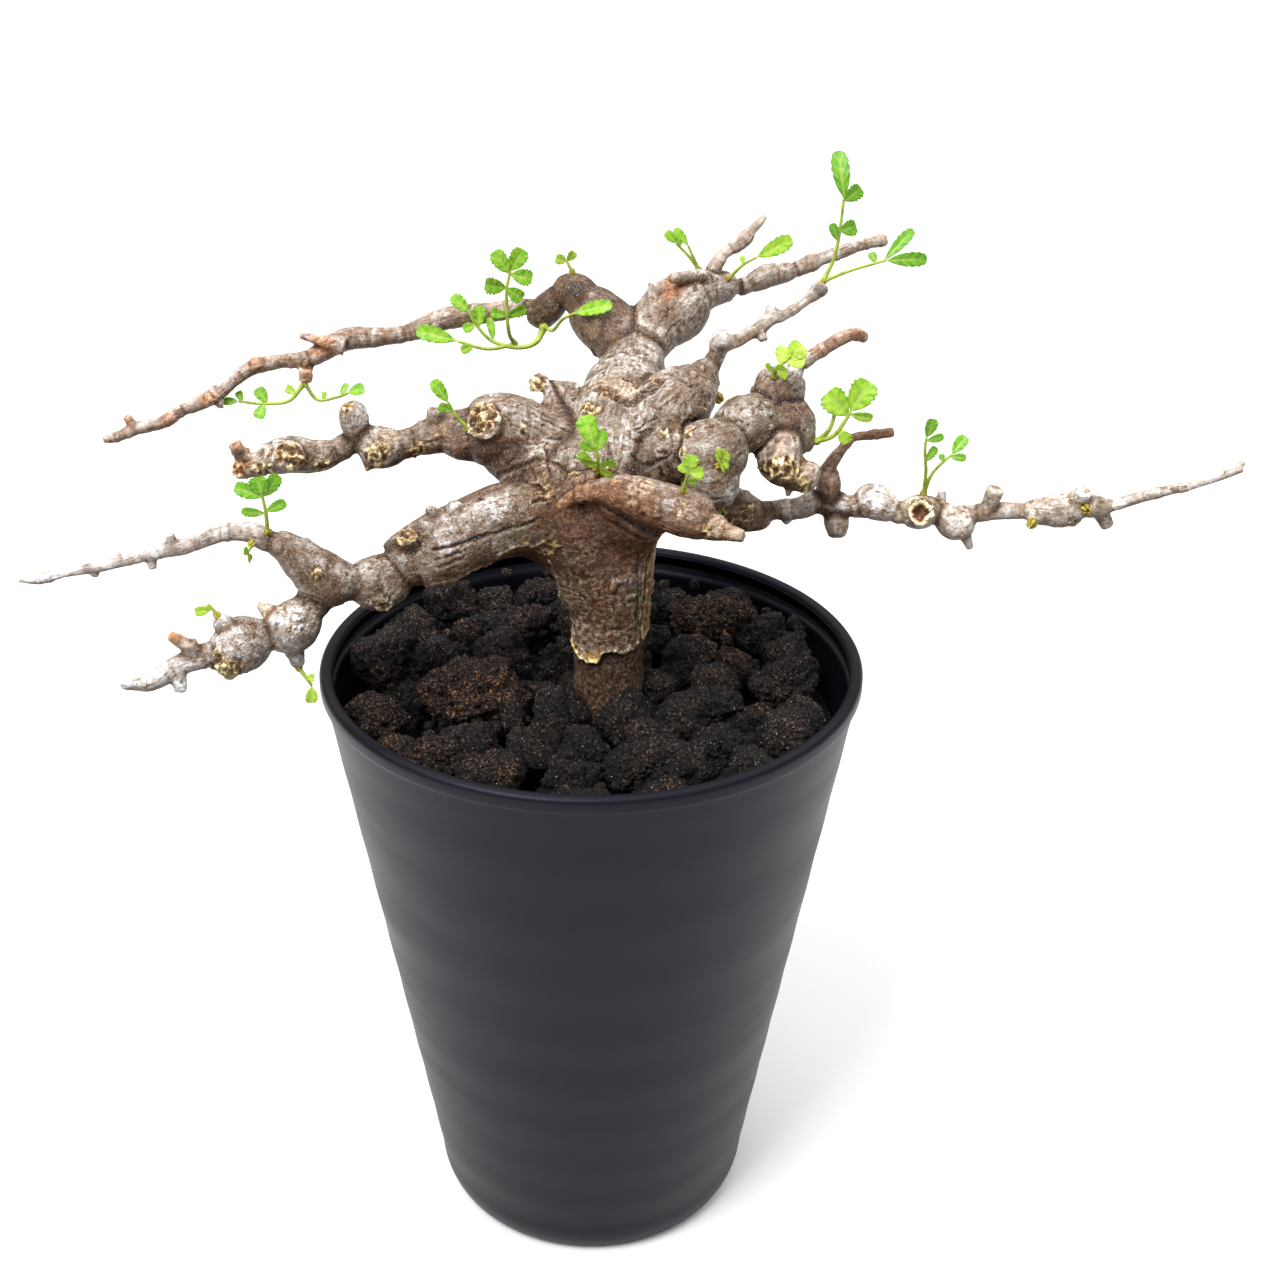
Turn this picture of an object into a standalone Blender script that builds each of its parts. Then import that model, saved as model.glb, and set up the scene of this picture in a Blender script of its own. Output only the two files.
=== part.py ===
"""A small commiphora with swollen, beaded limbs, standing in lava gravel in a tapered black plastic pot.

Everything is modelled at real size with +Z up. The origin is the middle of the pot's underside, +X is to
the right of the plant's front and +Y is behind it. The plant's own places are given in millimetres and
turned to metres once, where a mesh is made.
"""

import math

import bmesh
import bpy
import numpy as np
from mathutils import Vector
from mathutils.bvhtree import BVHTree
from mathutils.geometry import delaunay_2d_cdt, intersect_line_line_2d

MM = 0.001
CLEARANCE = 0.3  # kept between pieces that touch

# The pot, in millimetres
POT_HEIGHT = 126.0
POT_RIM_RADIUS = 52.5
POT_TOP_RADIUS = 51.7  # the wall just under the rim
POT_FOOT_RADIUS = 33.4  # the wall just above the rounded foot
FOOT_HEIGHT = 8.0
BASE_RADIUS = 29.5
RIM_HEIGHT = 3.2
WALL = 1.5
POT_SIDES = 36
DRAIN_HOLE_RADIUS = 4.0
DRAIN_HOLE_RING = 17.0
DRAIN_HOLES = 5

# The gravel, in millimetres
GRAVEL_CORE_TOP = 115.0  # the packed part, which the top stones stand out of
GRAVEL_LEVEL = 117.0  # centres of the top stones
STONE_SPACING = 11.6
STONE_RADIUS = (5.2, 6.8)
STONE_ROUGHNESS = 0.24

# The plant's trunk and root, in millimetres
ROOT_RADIUS = 8.0
ROOT_FOOT = 95.0
ROOT_AXIS = (3.0, 0.0)
LUMP = 0.07  # how far the bark's low lumps stand out or in, as a share of the radius
TUBE_SIDES = ((8.3, 11), (4.2, 8), (2.1, 6), (0.0, 5))  # the least radius that gets that many sides
SMOOTHED_RADIUS = 2.1  # thicker runs have a ring between each two stations

# Green shoots, in millimetres
PEG_RADIUS = 0.55
PEG_DEPTH = 1.0
HOLE_RADIUS = 1.0  # at the hole's corners: it has six flat sides
HOLE_RISE = 0.8  # the hole's cutter stands this far out of the bark
BUD_RADIUS = 0.8
BUD_FOOT = 0.3  # heights over the bark
BUD_TOP = 1.7
LEAF_RISE = 1.1  # a leaf's root stands this far over the bark, inside the bud
CURVE_STEPS = 6  # points of a stalk's curve between two of its bends
BLADE_THICKNESS = 0.6
STALK_WIDTH = 0.9
TOOTHED_LENGTH = 4.8  # leaflets this long have notched edges
ARCH = 0.02  # a blade falls away by this much times the square of the distance from its rib
NARROWING_STEP = 0.05  # leaflets that would touch are made narrower by this share at a time
NARROWEST = 0.3

# Each limb is a run of stations: x, y, z of its centreline and its radius there. The swollen beads and
# the necks between them are the plant's own, so each one has a station.
LIMBS = {
    "trunk": [
        (3, 0, 95, ROOT_RADIUS), (3, 0, 110, ROOT_RADIUS), (3, 0, 124, ROOT_RADIUS),
        (3, 0, 130, 7.8), (3, 0, 137.5, 8.4), (2.5, 0, 145, 9.2), (2, 1, 151.5, 10.0), (2, 3.5, 158, 10.9),
        (3.5, 7.5, 163, 11.2), (5.5, 14.5, 167, 10.4), (6.5, 23, 169, 8.6), (7.5, 30, 171, 6.9),
        (8.5, 36, 173, 6.0), (9, 40, 174.5, 3.6),
    ],
    "back_left_limb": [
        (8, 36, 172.5, 4.6), (5.5, 43, 176, 5.9), (1.5, 48, 178.5, 5.7), (-1.5, 51, 181, 4.1),
        (-4, 53, 182.5, 3.7), (-6.5, 54, 181, 2.7), (-10.5, 55, 177.5, 3.5), (-13, 56, 178, 1.9),
    ],
    "back_left_twig": [
        (-10.5, 55.5, 177.8, 2.0), (-14, 56, 178, 1.9), (-21.5, 57, 176.5, 2.0), (-31, 57, 175, 2.3),
        (-38.5, 57, 172, 1.7), (-44.5, 56, 171.5, 1.9),
        (-52, 55, 171, 2.4), (-59, 54, 167.5, 1.7), (-65, 53, 167, 1.4), (-71, 52, 166, 1.7),
        (-75, 51, 163.5, 1.4), (-79.5, 49, 160.5, 1.7), (-85, 47, 158.5, 1.25), (-89, 45, 156.5, 1.35),
        (-93.5, 43, 156, 1.15), (-98, 41.5, 154.5, 1.05), (-100.5, 40, 154.5, 0.7),
    ],
    "back_right_limb": [
        (8, 36, 172.5, 4.4), (13, 43, 178, 5.2), (17, 47, 181, 6.9), (21.5, 50, 183, 4.2),
        (25.5, 53, 183.5, 3.9), (29.5, 55.5, 182.7, 2.0),
    ],
    "back_right_tip": [
        (27, 54, 183, 2.0), (30.5, 56, 182.5, 1.9), (33, 58, 182.5, 1.9), (38, 60, 184, 2.7),
        (42.5, 62, 184.5, 1.9), (47.5, 64, 186, 1.9), (53, 66, 187.5, 1.7), (58, 68, 188.5, 1.5),
        (62.5, 70, 189, 1.6),
    ],
    "back_right_twig": [
        (25, 53, 184, 2.6), (25.5, 54, 188, 1.7), (28, 55, 190.5, 1.2), (31, 56, 192.5, 1.5),
        (33, 57, 194.5, 1.1), (35.5, 58, 197, 0.6),
    ],
    "upper_limb": [
        (7, 12, 164, 8.4), (11.5, 13, 168, 8.2), (16, 16, 172, 6.5), (19.5, 18, 174.5, 4.9),
        (22, 20, 177, 2.7), (23, 20.5, 178.6, 1.8),
    ],
    "upper_twig": [
        (22, 20, 177, 2.0), (24, 21, 180, 1.6), (24.5, 21, 182.5, 2.1), (27, 22, 181.8, 1.25),
        (29.5, 23, 183, 1.35), (32, 24, 184, 1.35), (34.5, 25, 186, 1.5), (37, 26, 186, 1.05),
        (41.5, 28, 188.5, 0.95), (43.5, 29, 190, 1.5), (44.5, 29.5, 191, 1.4),
    ],
    "bead_limb": [
        (8, 4, 161, 8.0), (14, 2, 165.5, 6.6), (21.5, 0, 168, 6.6), (25, 4, 169.5, 4.0),
        (28.5, 8, 170.5, 5.3),
        (32.5, 11, 171, 3.9), (37, 12, 169, 5.4), (40.5, 11, 166, 2.8), (42, 10.5, 165, 1.6),
    ],
    "bead_limb_top": [
        (32.5, 12, 171, 3.2), (35.5, 15, 175, 4.9), (38, 17, 177.5, 2.4),
    ],
    "bead_limb_twig": [
        (37.5, 16.6, 177, 1.9), (39.5, 18, 179, 1.5),
        (44.5, 20, 181.5, 1.3), (47.5, 21, 183, 1.4), (50, 22, 183.5, 1.25), (52.5, 23, 182.5, 1.15),
    ],
    "bead_limb_low": [
        (37, 10, 167.5, 4.0), (35, 6, 164.5, 4.3), (37.5, 5, 162, 3.0), (41, 5.5, 161, 2.9),
        (42.5, 5.5, 160.5, 1.8),
    ],
    "right_limb": [
        (8, 7, 156, 6.0), (14, 10, 154.5, 5.0), (21, 13, 152.5, 4.4), (27.5, 15, 150.5, 4.3),
        (32, 16, 148.5, 3.3), (35, 16, 149.3, 2.1),
    ],
    "right_limb_beads": [
        (33, 16, 148.8, 2.4), (36, 16, 149.5, 2.0), (41, 16, 150, 2.1), (44, 15.5, 152, 2.4),
        (47, 15, 151.5, 3.0), (50, 14, 151.5, 1.7), (52, 14, 151.5, 2.2), (55, 14, 152.5, 3.7),
        (59, 13, 150.5, 1.75), (61, 13, 150.5, 2.2), (64, 12, 151, 3.5), (67.5, 12, 151, 1.75),
        (71, 11, 149, 3.3), (74, 11, 151, 1.75), (79, 10, 152, 1.75), (83.5, 9, 152.5, 1.55),
        (87.5, 8, 153, 2.9), (91, 7, 154, 3.45), (94, 6, 155, 2.5), (97, 6, 154.7, 2.3),
        (99, 5.2, 155.3, 1.4),
    ],
    "right_limb_tip": [
        (96.5, 5.8, 154.8, 1.8), (99.5, 5, 155.5, 1.35), (105.5, 4, 158, 1.05),
        (114.5, 2, 161.5, 0.85), (121, 0, 165.3, 0.9),
    ],
    "right_limb_twig": [
        (46.5, 15, 151.5, 2.6), (46, 15, 155.5, 2.75), (46, 15, 159, 1.4), (48, 14, 163, 1.05),
        (50, 14, 165.5, 0.95), (53.5, 13, 166.5, 0.9), (57.5, 12, 167.5, 0.95),
    ],
    "right_limb_drop": [(47.5, 15, 151, 2.6), (48, 14, 148, 2.55), (48, 13.5, 145, 1.2)],
    "front_limb": [
        (-11, -4, 154.5, 2.6), (-5.5, -6.5, 160, 2.6), (0.5, -9, 163.5, 3.0), (6, -11, 164.5, 3.7),
        (10.5, -13.5, 164, 4.1), (16.5, -16, 163, 4.0), (20.5, -18, 161.5, 2.5), (23.5, -20, 161, 1.5),
        (26.5, -22, 161, 1.1),
    ],
    "left_middle_limb": [
        (2, 6, 163, 8.0), (-9, 9, 165.5, 7.2), (-14, 9, 167, 6.4), (-18, 8, 168, 5.4), (-22.5, 8, 167, 3.8),
        (-28, 8, 168, 3.1), (-33, 8, 167, 2.6), (-36, 7, 166.5, 2.8), (-39.5, 6, 166.5, 3.8),
        (-43.5, 6, 168, 2.3), (-48, 6, 165.5, 2.2), (-52, 6, 164.5, 3.1), (-56, 5, 165.5, 3.5),
        (-60.5, 5, 164, 2.2), (-63, 4, 163.5, 1.9), (-66.5, 4, 162, 1.2),
    ],
    "left_middle_knob": [(-43.5, 6, 167.5, 2.3), (-44, 6, 172, 2.8), (-45, 6, 175, 1.6)],
    "left_low_limb": [
        (2, 1, 156, 8.2), (-10, -3, 156.5, 7.0), (-17, -4, 155.5, 7.0), (-24, -6, 153, 6.9),
        (-29, -8, 151.5, 6.5), (-33, -9, 150.5, 5.6), (-35.3, -10, 148.8, 3.6), (-39, -11, 146.5, 5.0),
        (-43.5, -13, 148, 2.7), (-48, -14, 148.5, 5.4), (-51.5, -14, 152, 4.3), (-54.5, -14, 155, 3.0),
        (-57, -14, 156.2, 2.3),
    ],
    "left_low_twig": [
        (-55, -14, 155.3, 2.1), (-58, -14, 156.5, 2.1), (-61, -14, 158, 1.75), (-66, -14, 158, 1.65),
        (-72.5, -13, 155, 1.45),
        (-79.5, -12, 153, 1.25), (-86.5, -11, 150.5, 1.05), (-96.5, -10, 148, 0.85), (-101, -10, 147, 1.1),
        (-104.5, -10, 147, 0.75),
    ],
    "left_low_beads": [
        (-49, -14, 147, 3.9), (-51.5, -16, 144, 2.9), (-54.5, -18, 141, 4.7), (-58.5, -20, 140.5, 2.6),
        (-63, -22, 139.5, 5.0), (-67.5, -24, 139, 2.3), (-72.5, -26, 138, 1.95), (-77, -28, 136, 1.9),
        (-80, -29, 135.5, 1.4), (-83, -30, 136.5, 0.9),
    ],
}

# Short spurs, cut stubs and bud scars: foot, top, radius at the foot and at the top.
SPURS = [
    ((-18, 7, 169), (-20.5, 2, 172.5), 3.2, 2.6),  # the big cut knot on the left middle limb
    ((-56, 4, 165.5), (-55.5, 0.6, 167), 3.0, 2.9),  # the cut knot near that limb's end
    ((64, 11, 151), (63.2, 7.6, 152.6), 2.8, 2.4),  # the fresh cut on the right limb
    ((-63.5, -23, 139), (-65.6, -26.4, 136.4), 2.6, 1.9),
    ((-33, -11, 154), (-33.2, -13.6, 157), 2.1, 1.8),  # the ringed knob on the left low limb
    ((-39, -13, 146), (-38.6, -16, 144.6), 2.2, 1.7),
    ((-29, 8, 169), (-29.4, 8, 173.4), 2.0, 1.4),
    ((-41, 5, 165), (-42.2, 3, 162.6), 1.2, 0.8),
    ((-64, 4, 163.5), (-66, 4.6, 166.8), 1.5, 1.2),
    ((-3, 12, 166), (-4.5, 17, 172.5), 6.0, 3.6),  # the lump behind the crown
    ((-4.5, 17, 172), (-10, 19, 174.6), 2.0, 1.1),
    ((-24, -6, 157), (-30, -8, 160), 1.6, 0.6),
    ((-35, -10, 151), (-37.6, -11.5, 154.6), 1.4, 0.5),
    ((-56, -18, 142), (-60.2, -17, 145.4), 2.4, 0.7),
    ((-54.5, -18, 138), (-53.6, -18.6, 133.4), 2.2, 1.1),
    ((-70.5, -25.5, 138.5), (-71.4, -26, 142.2), 1.7, 1.5),
    ((-71.2, -26, 141.4), (-74.4, -26.4, 143.8), 1.3, 0.9),
    ((-73.5, -27, 137.5), (-73, -28, 133.4), 1.5, 1.1),
    ((-64, -22, 142), (-66.4, -23, 145.2), 2.2, 1.5),
    ((-59.5, 54, 167.5), (-60.4, 53, 162.6), 1.4, 1.5),
    ((-55, 54.5, 170.5), (-60.6, 53, 172.8), 1.4, 0.7),
    ((-75.5, -12.6, 154.5), (-75.7, -12.6, 157.2), 1.1, 0.8),
    ((76.5, 10, 152), (77.8, 9.4, 157), 1.4, 1.7),
    ((68, 12, 151.5), (67.8, 12, 155.6), 0.9, 0.8),
    ((72.5, 10.6, 147.4), (74, 10, 144), 1.6, 0.7),
    ((92.5, 6, 155), (93.3, 4, 159), 2.0, 1.7),
    ((97, 6, 154.5), (99.3, 6, 150.6), 2.0, 1.3),
    ((13.5, 43.5, 181), (11.4, 44, 187.2), 1.7, 0.5),
    ((24, 52.6, 185), (15.6, 49, 185.6), 1.5, 0.9),
    ((37.5, 17, 176), (41, 16, 175.2), 1.7, 1.0),
    ((37, 5, 161.5), (37, 4, 157.6), 1.3, 0.5),
    ((27.5, 14, 151), (30.5, 13, 146.8), 2.4, 1.4),
    ((-14.5, 6, 161), (-13.5, 4, 158), 3.0, 1.6),
]

# Each green shoot: about where it grows from, then its leaves. A leaf is the line of its stalk, the way its
# faces look, and its leaflets: how far along the stalk, which side (0 is the tip), length, width and the
# angle from the stalk.
FRONT_UP = (0.1, -0.85, 0.5)
SHOOTS = {
    "shoot_back_left": ((-10, 52.2, 175.4), [
        ([(-10, 52.2, 175.4), (-12, 51, 173), (-16, 50.6, 172), (-21, 50.4, 173.4), (-24, 50.3, 176.6),
         (-25.6, 50.2, 179.6)], FRONT_UP,
         [(0.62, -1, 5.0, 1.5, 56), (0.82, -1, 4.4, 2.4, 40), (0.86, 1, 2.8, 1.7, 72),
          (1, 0, 4.6, 2.3, 14)]),
        ([(-16, 50.6, 172), (-17.5, 48.9, 176), (-17.8, 48.7, 184), (-16.9, 48.7, 188.6)], FRONT_UP,
         [(0.46, 1, 3.4, 1.8, 72), (0.46, -1, 4.2, 2.2, 72), (0.80, 1, 4.4, 3.2, 88),
          (0.80, -1, 3.8, 2.8, 112), (0.97, 1, 5.4, 2.8, 46), (0.97, -1, 4.6, 2.8, 88),
          (1, 0, 5.2, 3.0, -18)]),
        ([(-16, 50.6, 172), (-22, 49.0, 172.2), (-28, 48.4, 174)], FRONT_UP,
         [(0.72, 1, 3.0, 1.6, 34), (1, 0, 8.6, 2.8, 0)]),
        ([(-10, 52.2, 175.4), (-8.5, 48.4, 176.4), (-6.4, 45.6, 179.6), (-4, 43.8, 181.4)], FRONT_UP,
         [(1, 0, 8.6, 2.4, -6)]),
    ]),
    "shoot_back_knob": ((-4, 52.6, 186), [
        ([(-4, 52.6, 186), (-5, 52.4, 187.6)], FRONT_UP,
         [(1, 1, 2.6, 1.8, 45), (1, -1, 2.4, 1.8, 60)]),
    ]),
    "shoot_left_middle": ((-22.3, 3.5, 171.5), [
        ([(-22.3, 3.5, 171.5), (-23.4, 3, 174), (-25, 2.6, 177.2)], FRONT_UP,
         [(0.72, 1, 3.2, 1.6, 36), (1, 0, 4.8, 2.0, 4)]),
    ]),
    "shoot_crown_front": ((0, -4, 166.6), [
        ([(0, -4, 166.6), (0, -7.4, 171), (-0.4, -8, 174), (-0.8, -8, 176.4)], (0.1, -0.95, 0.3),
         [(0.30, 1, 3.2, 2.4, 75), (0.42, -1, 2.8, 1.8, 60), (0.72, 1, 2.6, 1.0, 80),
          (0.80, -1, 3.4, 1.2, 40), (1, 0, 4.8, 2.8, 6)]),
    ]),
    "shoot_front_limb": ((16, -16.5, 166.7), [
        ([(16, -16.5, 166.7), (16.4, -17.8, 169.4), (16.9, -18.2, 171.4)], FRONT_UP,
         [(0.5, -1, 1.8, 1.1, 56), (0.92, -1, 2.4, 1.5, 72), (1, 0, 2.8, 1.8, 14)]),
    ]),
    "shoot_bead": ((22.6, -6.5, 168), [
        ([(22.6, -6.5, 168), (22.8, -9.0, 170)], (0.2, -0.9, 0.4),
         [(0.8, 1, 2.2, 1.3, 66), (0.8, -1, 2.2, 1.3, 66), (1, 0, 2.6, 1.6, 0)]),
    ]),
    "shoot_curled_bud": ((34, 12, 178.6), [
        ([(34, 12, 178.6), (34.2, 10.4, 181.6)], (0.2, -0.7, 0.7),
         [(0.8, -1, 4.0, 2.4, 78), (1, 0, 3.4, 2.2, -8)]),
    ]),
    "shoot_bead_tip": ((42.6, 10, 166.3), [
        ([(42.6, 10, 166.3), (44.0, 9.2, 169), (45.0, 9.0, 172.8)], FRONT_UP,
         [(1, 0, 3.0, 1.6, 4)]),
        ([(42.6, 10, 166.3), (44.8, 8.4, 168.2), (46.8, 8.0, 171.4), (47.6, 7.9, 173.2)], FRONT_UP,
         [(0.66, -1, 2.4, 1.7, 108), (0.95, -1, 3.8, 1.3, 74), (0.92, 1, 4.6, 3.0, 78),
          (1, 0, 6.0, 3.4, -4)]),
    ]),
    "shoot_twig_tip": ((44.4, 29, 191.8), [
        ([(44.4, 29, 191.8), (45.9, 29.4, 196), (46.6, 29.4, 202), (46.9, 29.4, 207)], FRONT_UP,
         [(0.50, 1, 3.8, 1.5, 30), (0.62, -1, 3.2, 2.6, 66), (0.97, -1, 4.0, 2.6, 48),
          (1, 0, 8.2, 2.8, 12)]),
        ([(44.4, 29, 191.8), (48.4, 29.2, 193), (53, 28.8, 194.6), (55.6, 28.6, 195.4)], FRONT_UP,
         [(0.84, 1, 2.2, 1.4, 98), (0.97, 1, 8.2, 1.9, 34), (1, 0, 7.8, 2.3, -13)]),
    ]),
    "shoot_fork_left": ((22, 50.2, 187.2), [
        ([(22, 50.2, 187.2), (20, 49.6, 189.6), (17.6, 49.4, 192)], FRONT_UP,
         [(0.84, -1, 2.8, 1.4, 40), (1, 0, 3.2, 1.6, -4)]),
        ([(22, 50.2, 187.2), (20.6, 49, 190.4), (20, 48.8, 191.8)], FRONT_UP,
         [(1, 0, 4.4, 1.6, 12)]),
    ]),
    "shoot_fork_right": ((27.8, 51.2, 185.7), [
        ([(27.8, 51.2, 185.7), (30, 50, 188.4), (32.6, 49.8, 190)], FRONT_UP,
         [(0.6, 1, 1.8, 1.0, 60), (1, 0, 7.8, 2.8, -2)]),
    ]),
    "shoot_right_limb": ((64.3, 11.8, 154.2), [
        ([(64.3, 11.8, 154.2), (64, 9.6, 159), (63.4, 9.2, 163), (63.4, 9.2, 166)], FRONT_UP,
         [(0.62, -1, 3.4, 1.5, 44), (0.95, -1, 3.4, 1.4, 72), (1, 0, 3.8, 2.2, -16)]),
        ([(64.3, 11.8, 154.2), (65.2, 9.6, 158.4), (67.4, 9.2, 161.4), (68.6, 9.2, 162.6)], FRONT_UP,
         [(0.80, 1, 1.6, 1.0, 60), (0.94, -1, 3.2, 1.3, 44), (1, 0, 4.2, 2.0, 14)]),
    ]),
    "shoot_left_twig": ((-57.8, -15, 158.5), [
        ([(-57.8, -15, 158.5), (-58.1, -15.6, 162), (-58.4, -15.8, 165.2)], FRONT_UP,
         [(0.62, 1, 4.2, 1.4, 78), (0.62, -1, 4.0, 1.8, 62), (0.96, 1, 4.4, 1.8, 68),
          (0.96, -1, 4.2, 1.7, 60), (1, 0, 3.8, 2.6, 2)]),
    ]),
    "shoot_under_left_twig": ((-60.4, -15.6, 156.9), [
        ([(-60.4, -15.6, 156.9), (-61.8, -17.2, 155.0)], (0.1, -0.8, -0.5),
         [(0.7, 1, 1.8, 1.1, 62), (1, 0, 2.6, 1.5, 10)]),
    ]),
    "shoot_low_bead": ((-66, -22.9, 145.5), [
        ([(-66, -22.9, 145.5), (-66.8, -23.4, 147.2)], FRONT_UP,
         [(1, 1, 2.8, 1.4, 40), (1, -1, 1.8, 1.2, 60)]),
    ]),
    "shoot_bead_foot": ((-53.7, -18.6, 133.4), [
        ([(-53.7, -18.6, 133.4), (-52.8, -19.4, 130.6), (-52, -19.6, 129)], (0.3, -0.9, 0.2),
         [(0.4, -1, 1.8, 1.4, 50), (1, 0, 3.4, 1.6, 38)]),
    ]),
    "shoot_back_low": ((-60.3, 51.9, 162.8), [
        ([(-60.3, 51.9, 162.8), (-63.6, 51.4, 160), (-69, 51.2, 159.4), (-74, 51, 160)], FRONT_UP,
         [(0.18, -1, 2.6, 1.6, 80), (0.62, -1, 3.8, 2.2, 58), (0.66, 1, 3.4, 2.2, 70),
          (0.95, -1, 2.4, 1.4, 60), (1, 0, 3.2, 1.6, 8)]),
        ([(-60.3, 51.9, 162.8), (-57.6, 51.2, 160.4), (-53.4, 51, 161), (-51, 50.8, 162)], FRONT_UP,
         [(0.5, 1, 1.8, 0.9, 76), (0.84, 1, 3.0, 1.2, 46), (1, 0, 3.8, 2.2, -4)]),
    ]),
}

# The largest loose stones on top: x, y, width and how much of it stands over the other stones.
LOOSE_STONES = [
    (-23.5, -6.5, 20.0, 2.5),
    (-41.0, -11.0, 12.4, 1.5),
    (-28.0, -26.5, 12.6, 1.0),
    (9.6, -29.2, 13.0, 1.2),
    (23.5, -24.0, 11.5, 1.0),
    (37.0, -17.5, 11.0, 1.0),
    (22.5, -8.0, 12.6, 1.2),
    (37.5, 1.0, 12.6, 1.6),
    (26.5, 24.5, 17.0, 3.0),
    (40.0, 14.0, 9.6, 1.6),
    (-13.5, 22.0, 17.0, 1.8),
    (-34.0, 9.0, 11.5, 1.5),
    (-27.0, 34.5, 12.0, 1.2),
    (6.0, -14.6, 9.4, 1.8),
]


def clear_scene():
    for old in list(bpy.data.objects):
        bpy.data.objects.remove(old, do_unlink=True)


def finish(name, colour, roughness):
    """A Principled material with that colour (linear) and roughness."""
    material = bpy.data.materials.new(name)
    material.use_nodes = True
    shader = material.node_tree.nodes["Principled BSDF"]
    shader.inputs["Base Color"].default_value = (*colour, 1.0)
    shader.inputs["Roughness"].default_value = roughness
    shader.inputs["Metallic"].default_value = 0.0
    return material


def object_from(name, points_mm, faces, material):
    """A new object whose mesh has these points, given in millimetres."""
    mesh = bpy.data.meshes.new(name)
    mesh.from_pydata((np.asarray(points_mm, float) * MM).tolist(), [], [tuple(map(int, f)) for f in faces])
    mesh.materials.append(material)
    mesh.shade_smooth()
    made = bpy.data.objects.new(name, mesh)
    bpy.context.scene.collection.objects.link(made)
    return made


def apply_modifiers(target):
    """Bakes the object's modifiers into its mesh."""
    graph = bpy.context.evaluated_depsgraph_get()
    mesh = bpy.data.meshes.new_from_object(target.evaluated_get(graph), depsgraph=graph)
    target.modifiers.clear()
    target.data = mesh
    mesh.shade_smooth()


def boolean(target, others, operation, solver="EXACT"):
    """Joins or cuts the target with all the others at once, and removes them."""
    group = bpy.data.collections.new("operands")
    bpy.context.scene.collection.children.link(group)
    for other in others:
        group.objects.link(other)
    cut = target.modifiers.new("boolean", "BOOLEAN")
    cut.operation = operation
    cut.operand_type = "COLLECTION"
    cut.collection = group
    cut.solver = solver
    bpy.context.view_layer.update()
    apply_modifiers(target)
    for other in others:
        bpy.data.objects.remove(other, do_unlink=True)
    bpy.data.collections.remove(group)


def drop_scraps(target):
    """Keeps the largest body of a mesh, and removes scraps that a cut left loose."""
    mesh = bmesh.new()
    mesh.from_mesh(target.data)
    left = set(mesh.verts)
    bodies = []
    while left:
        body = set()
        reached = [next(iter(left))]
        while reached:
            vert = reached.pop()
            if vert in body:
                continue
            body.add(vert)
            reached += [edge.other_vert(vert) for edge in vert.link_edges]
        left -= body
        bodies.append(body)
    bodies.sort(key=len)
    scraps = [vert for body in bodies[:-1] for vert in body]
    bmesh.ops.delete(mesh, geom=scraps, context="VERTS")
    mesh.to_mesh(target.data)
    mesh.free()


def lattice_noise(points, seed):
    """Smooth noise from -1 to 1: seeded random values on a unit lattice, eased between its corners."""
    cell = np.floor(points).astype(np.int64)
    part = points - cell
    ease = part * part * (3 - 2 * part)
    total = np.zeros(len(points))
    for corner in np.ndindex(2, 2, 2):
        key = (cell + np.array(corner)) @ np.array([73856093, 19349663, 83492791]) + seed * 2654435761
        key = (key ^ (key >> 13)) * 1274126177 & 0xFFFFFFFF
        value = ((key ^ (key >> 16)) & 0xFFFF) / 32767.5 - 1
        weight = np.prod(np.where(corner, ease, 1 - ease), axis=1)
        total += weight * value
    return total


def bulging_radius(start, end, share):
    """The radius between two stations: it stays near the larger one, so that a swelling is round and the
    neck beside it is a crease."""
    toward_larger = share if end > start else 1 - share
    return min(start, end) + abs(end - start) * math.sin(math.pi / 2 * toward_larger) ** 0.7


def smooth_stations(stations, steps):
    """Catmull-Rom points between the stations, with the radius carried along the same way."""
    known = np.asarray(stations, float)
    padded = np.vstack([2 * known[0] - known[1], known, 2 * known[-1] - known[-2]])
    rows = []
    for i in range(len(known) - 1):
        a, b, c, d = padded[i : i + 4]
        for t in np.arange(steps) / steps:
            rows.append(
                0.5 * (2 * b + (c - a) * t + (2 * a - 5 * b + 4 * c - d) * t**2
                       + (3 * b - a - 3 * c + d) * t**3)
            )
            rows[-1][3] = bulging_radius(b[3], c[3], t)
    rows.append(known[-1])
    return np.array(rows)


def ring_axes(path):
    """Two unit vectors across the path at each point, kept from twisting by one fixed world axis."""
    along = np.gradient(path, axis=0)
    along /= np.linalg.norm(along, axis=1)[:, None]
    steadiest = np.argmin(np.abs(along).max(axis=0))
    across = np.cross(along, np.eye(3)[steadiest])
    across /= np.linalg.norm(across, axis=1)[:, None]
    return across, np.cross(along, across)


def tube(name, rings, sides, material, lump=0.0, seed=0):
    """A closed tube along rings of (x, y, z, radius), with lumps of up to that share of the radius."""
    path, radius = rings[:, :3], rings[:, 3]
    across, up = ring_axes(path)
    turn = np.arange(sides) * 2 * math.pi / sides
    out = across[:, None] * np.cos(turn)[None, :, None] + up[:, None] * np.sin(turn)[None, :, None]
    places = path[:, None] + out * radius[:, None, None]
    swell = 1 + lump * lattice_noise(places.reshape(-1, 3) / 5.0, seed).reshape(len(path), sides)
    points = (path[:, None] + out * (radius[:, None] * swell)[:, :, None]).reshape(-1, 3)
    faces = []
    for ring in range(len(path) - 1):
        for side in range(sides):
            a, b = ring * sides + side, ring * sides + (side + 1) % sides
            faces.append((a, b, b + sides, a + sides))
    faces.append(tuple(range(sides - 1, -1, -1)))
    last = (len(path) - 1) * sides
    faces.append(tuple(range(last, last + sides)))
    return face_outward(object_from(name, points, faces, material))


def face_outward(made):
    """Turns the faces of a closed mesh to point out of it."""
    mesh = bmesh.new()
    mesh.from_mesh(made.data)
    bmesh.ops.recalc_face_normals(mesh, faces=mesh.faces)
    mesh.to_mesh(made.data)
    mesh.free()
    return made


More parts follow.
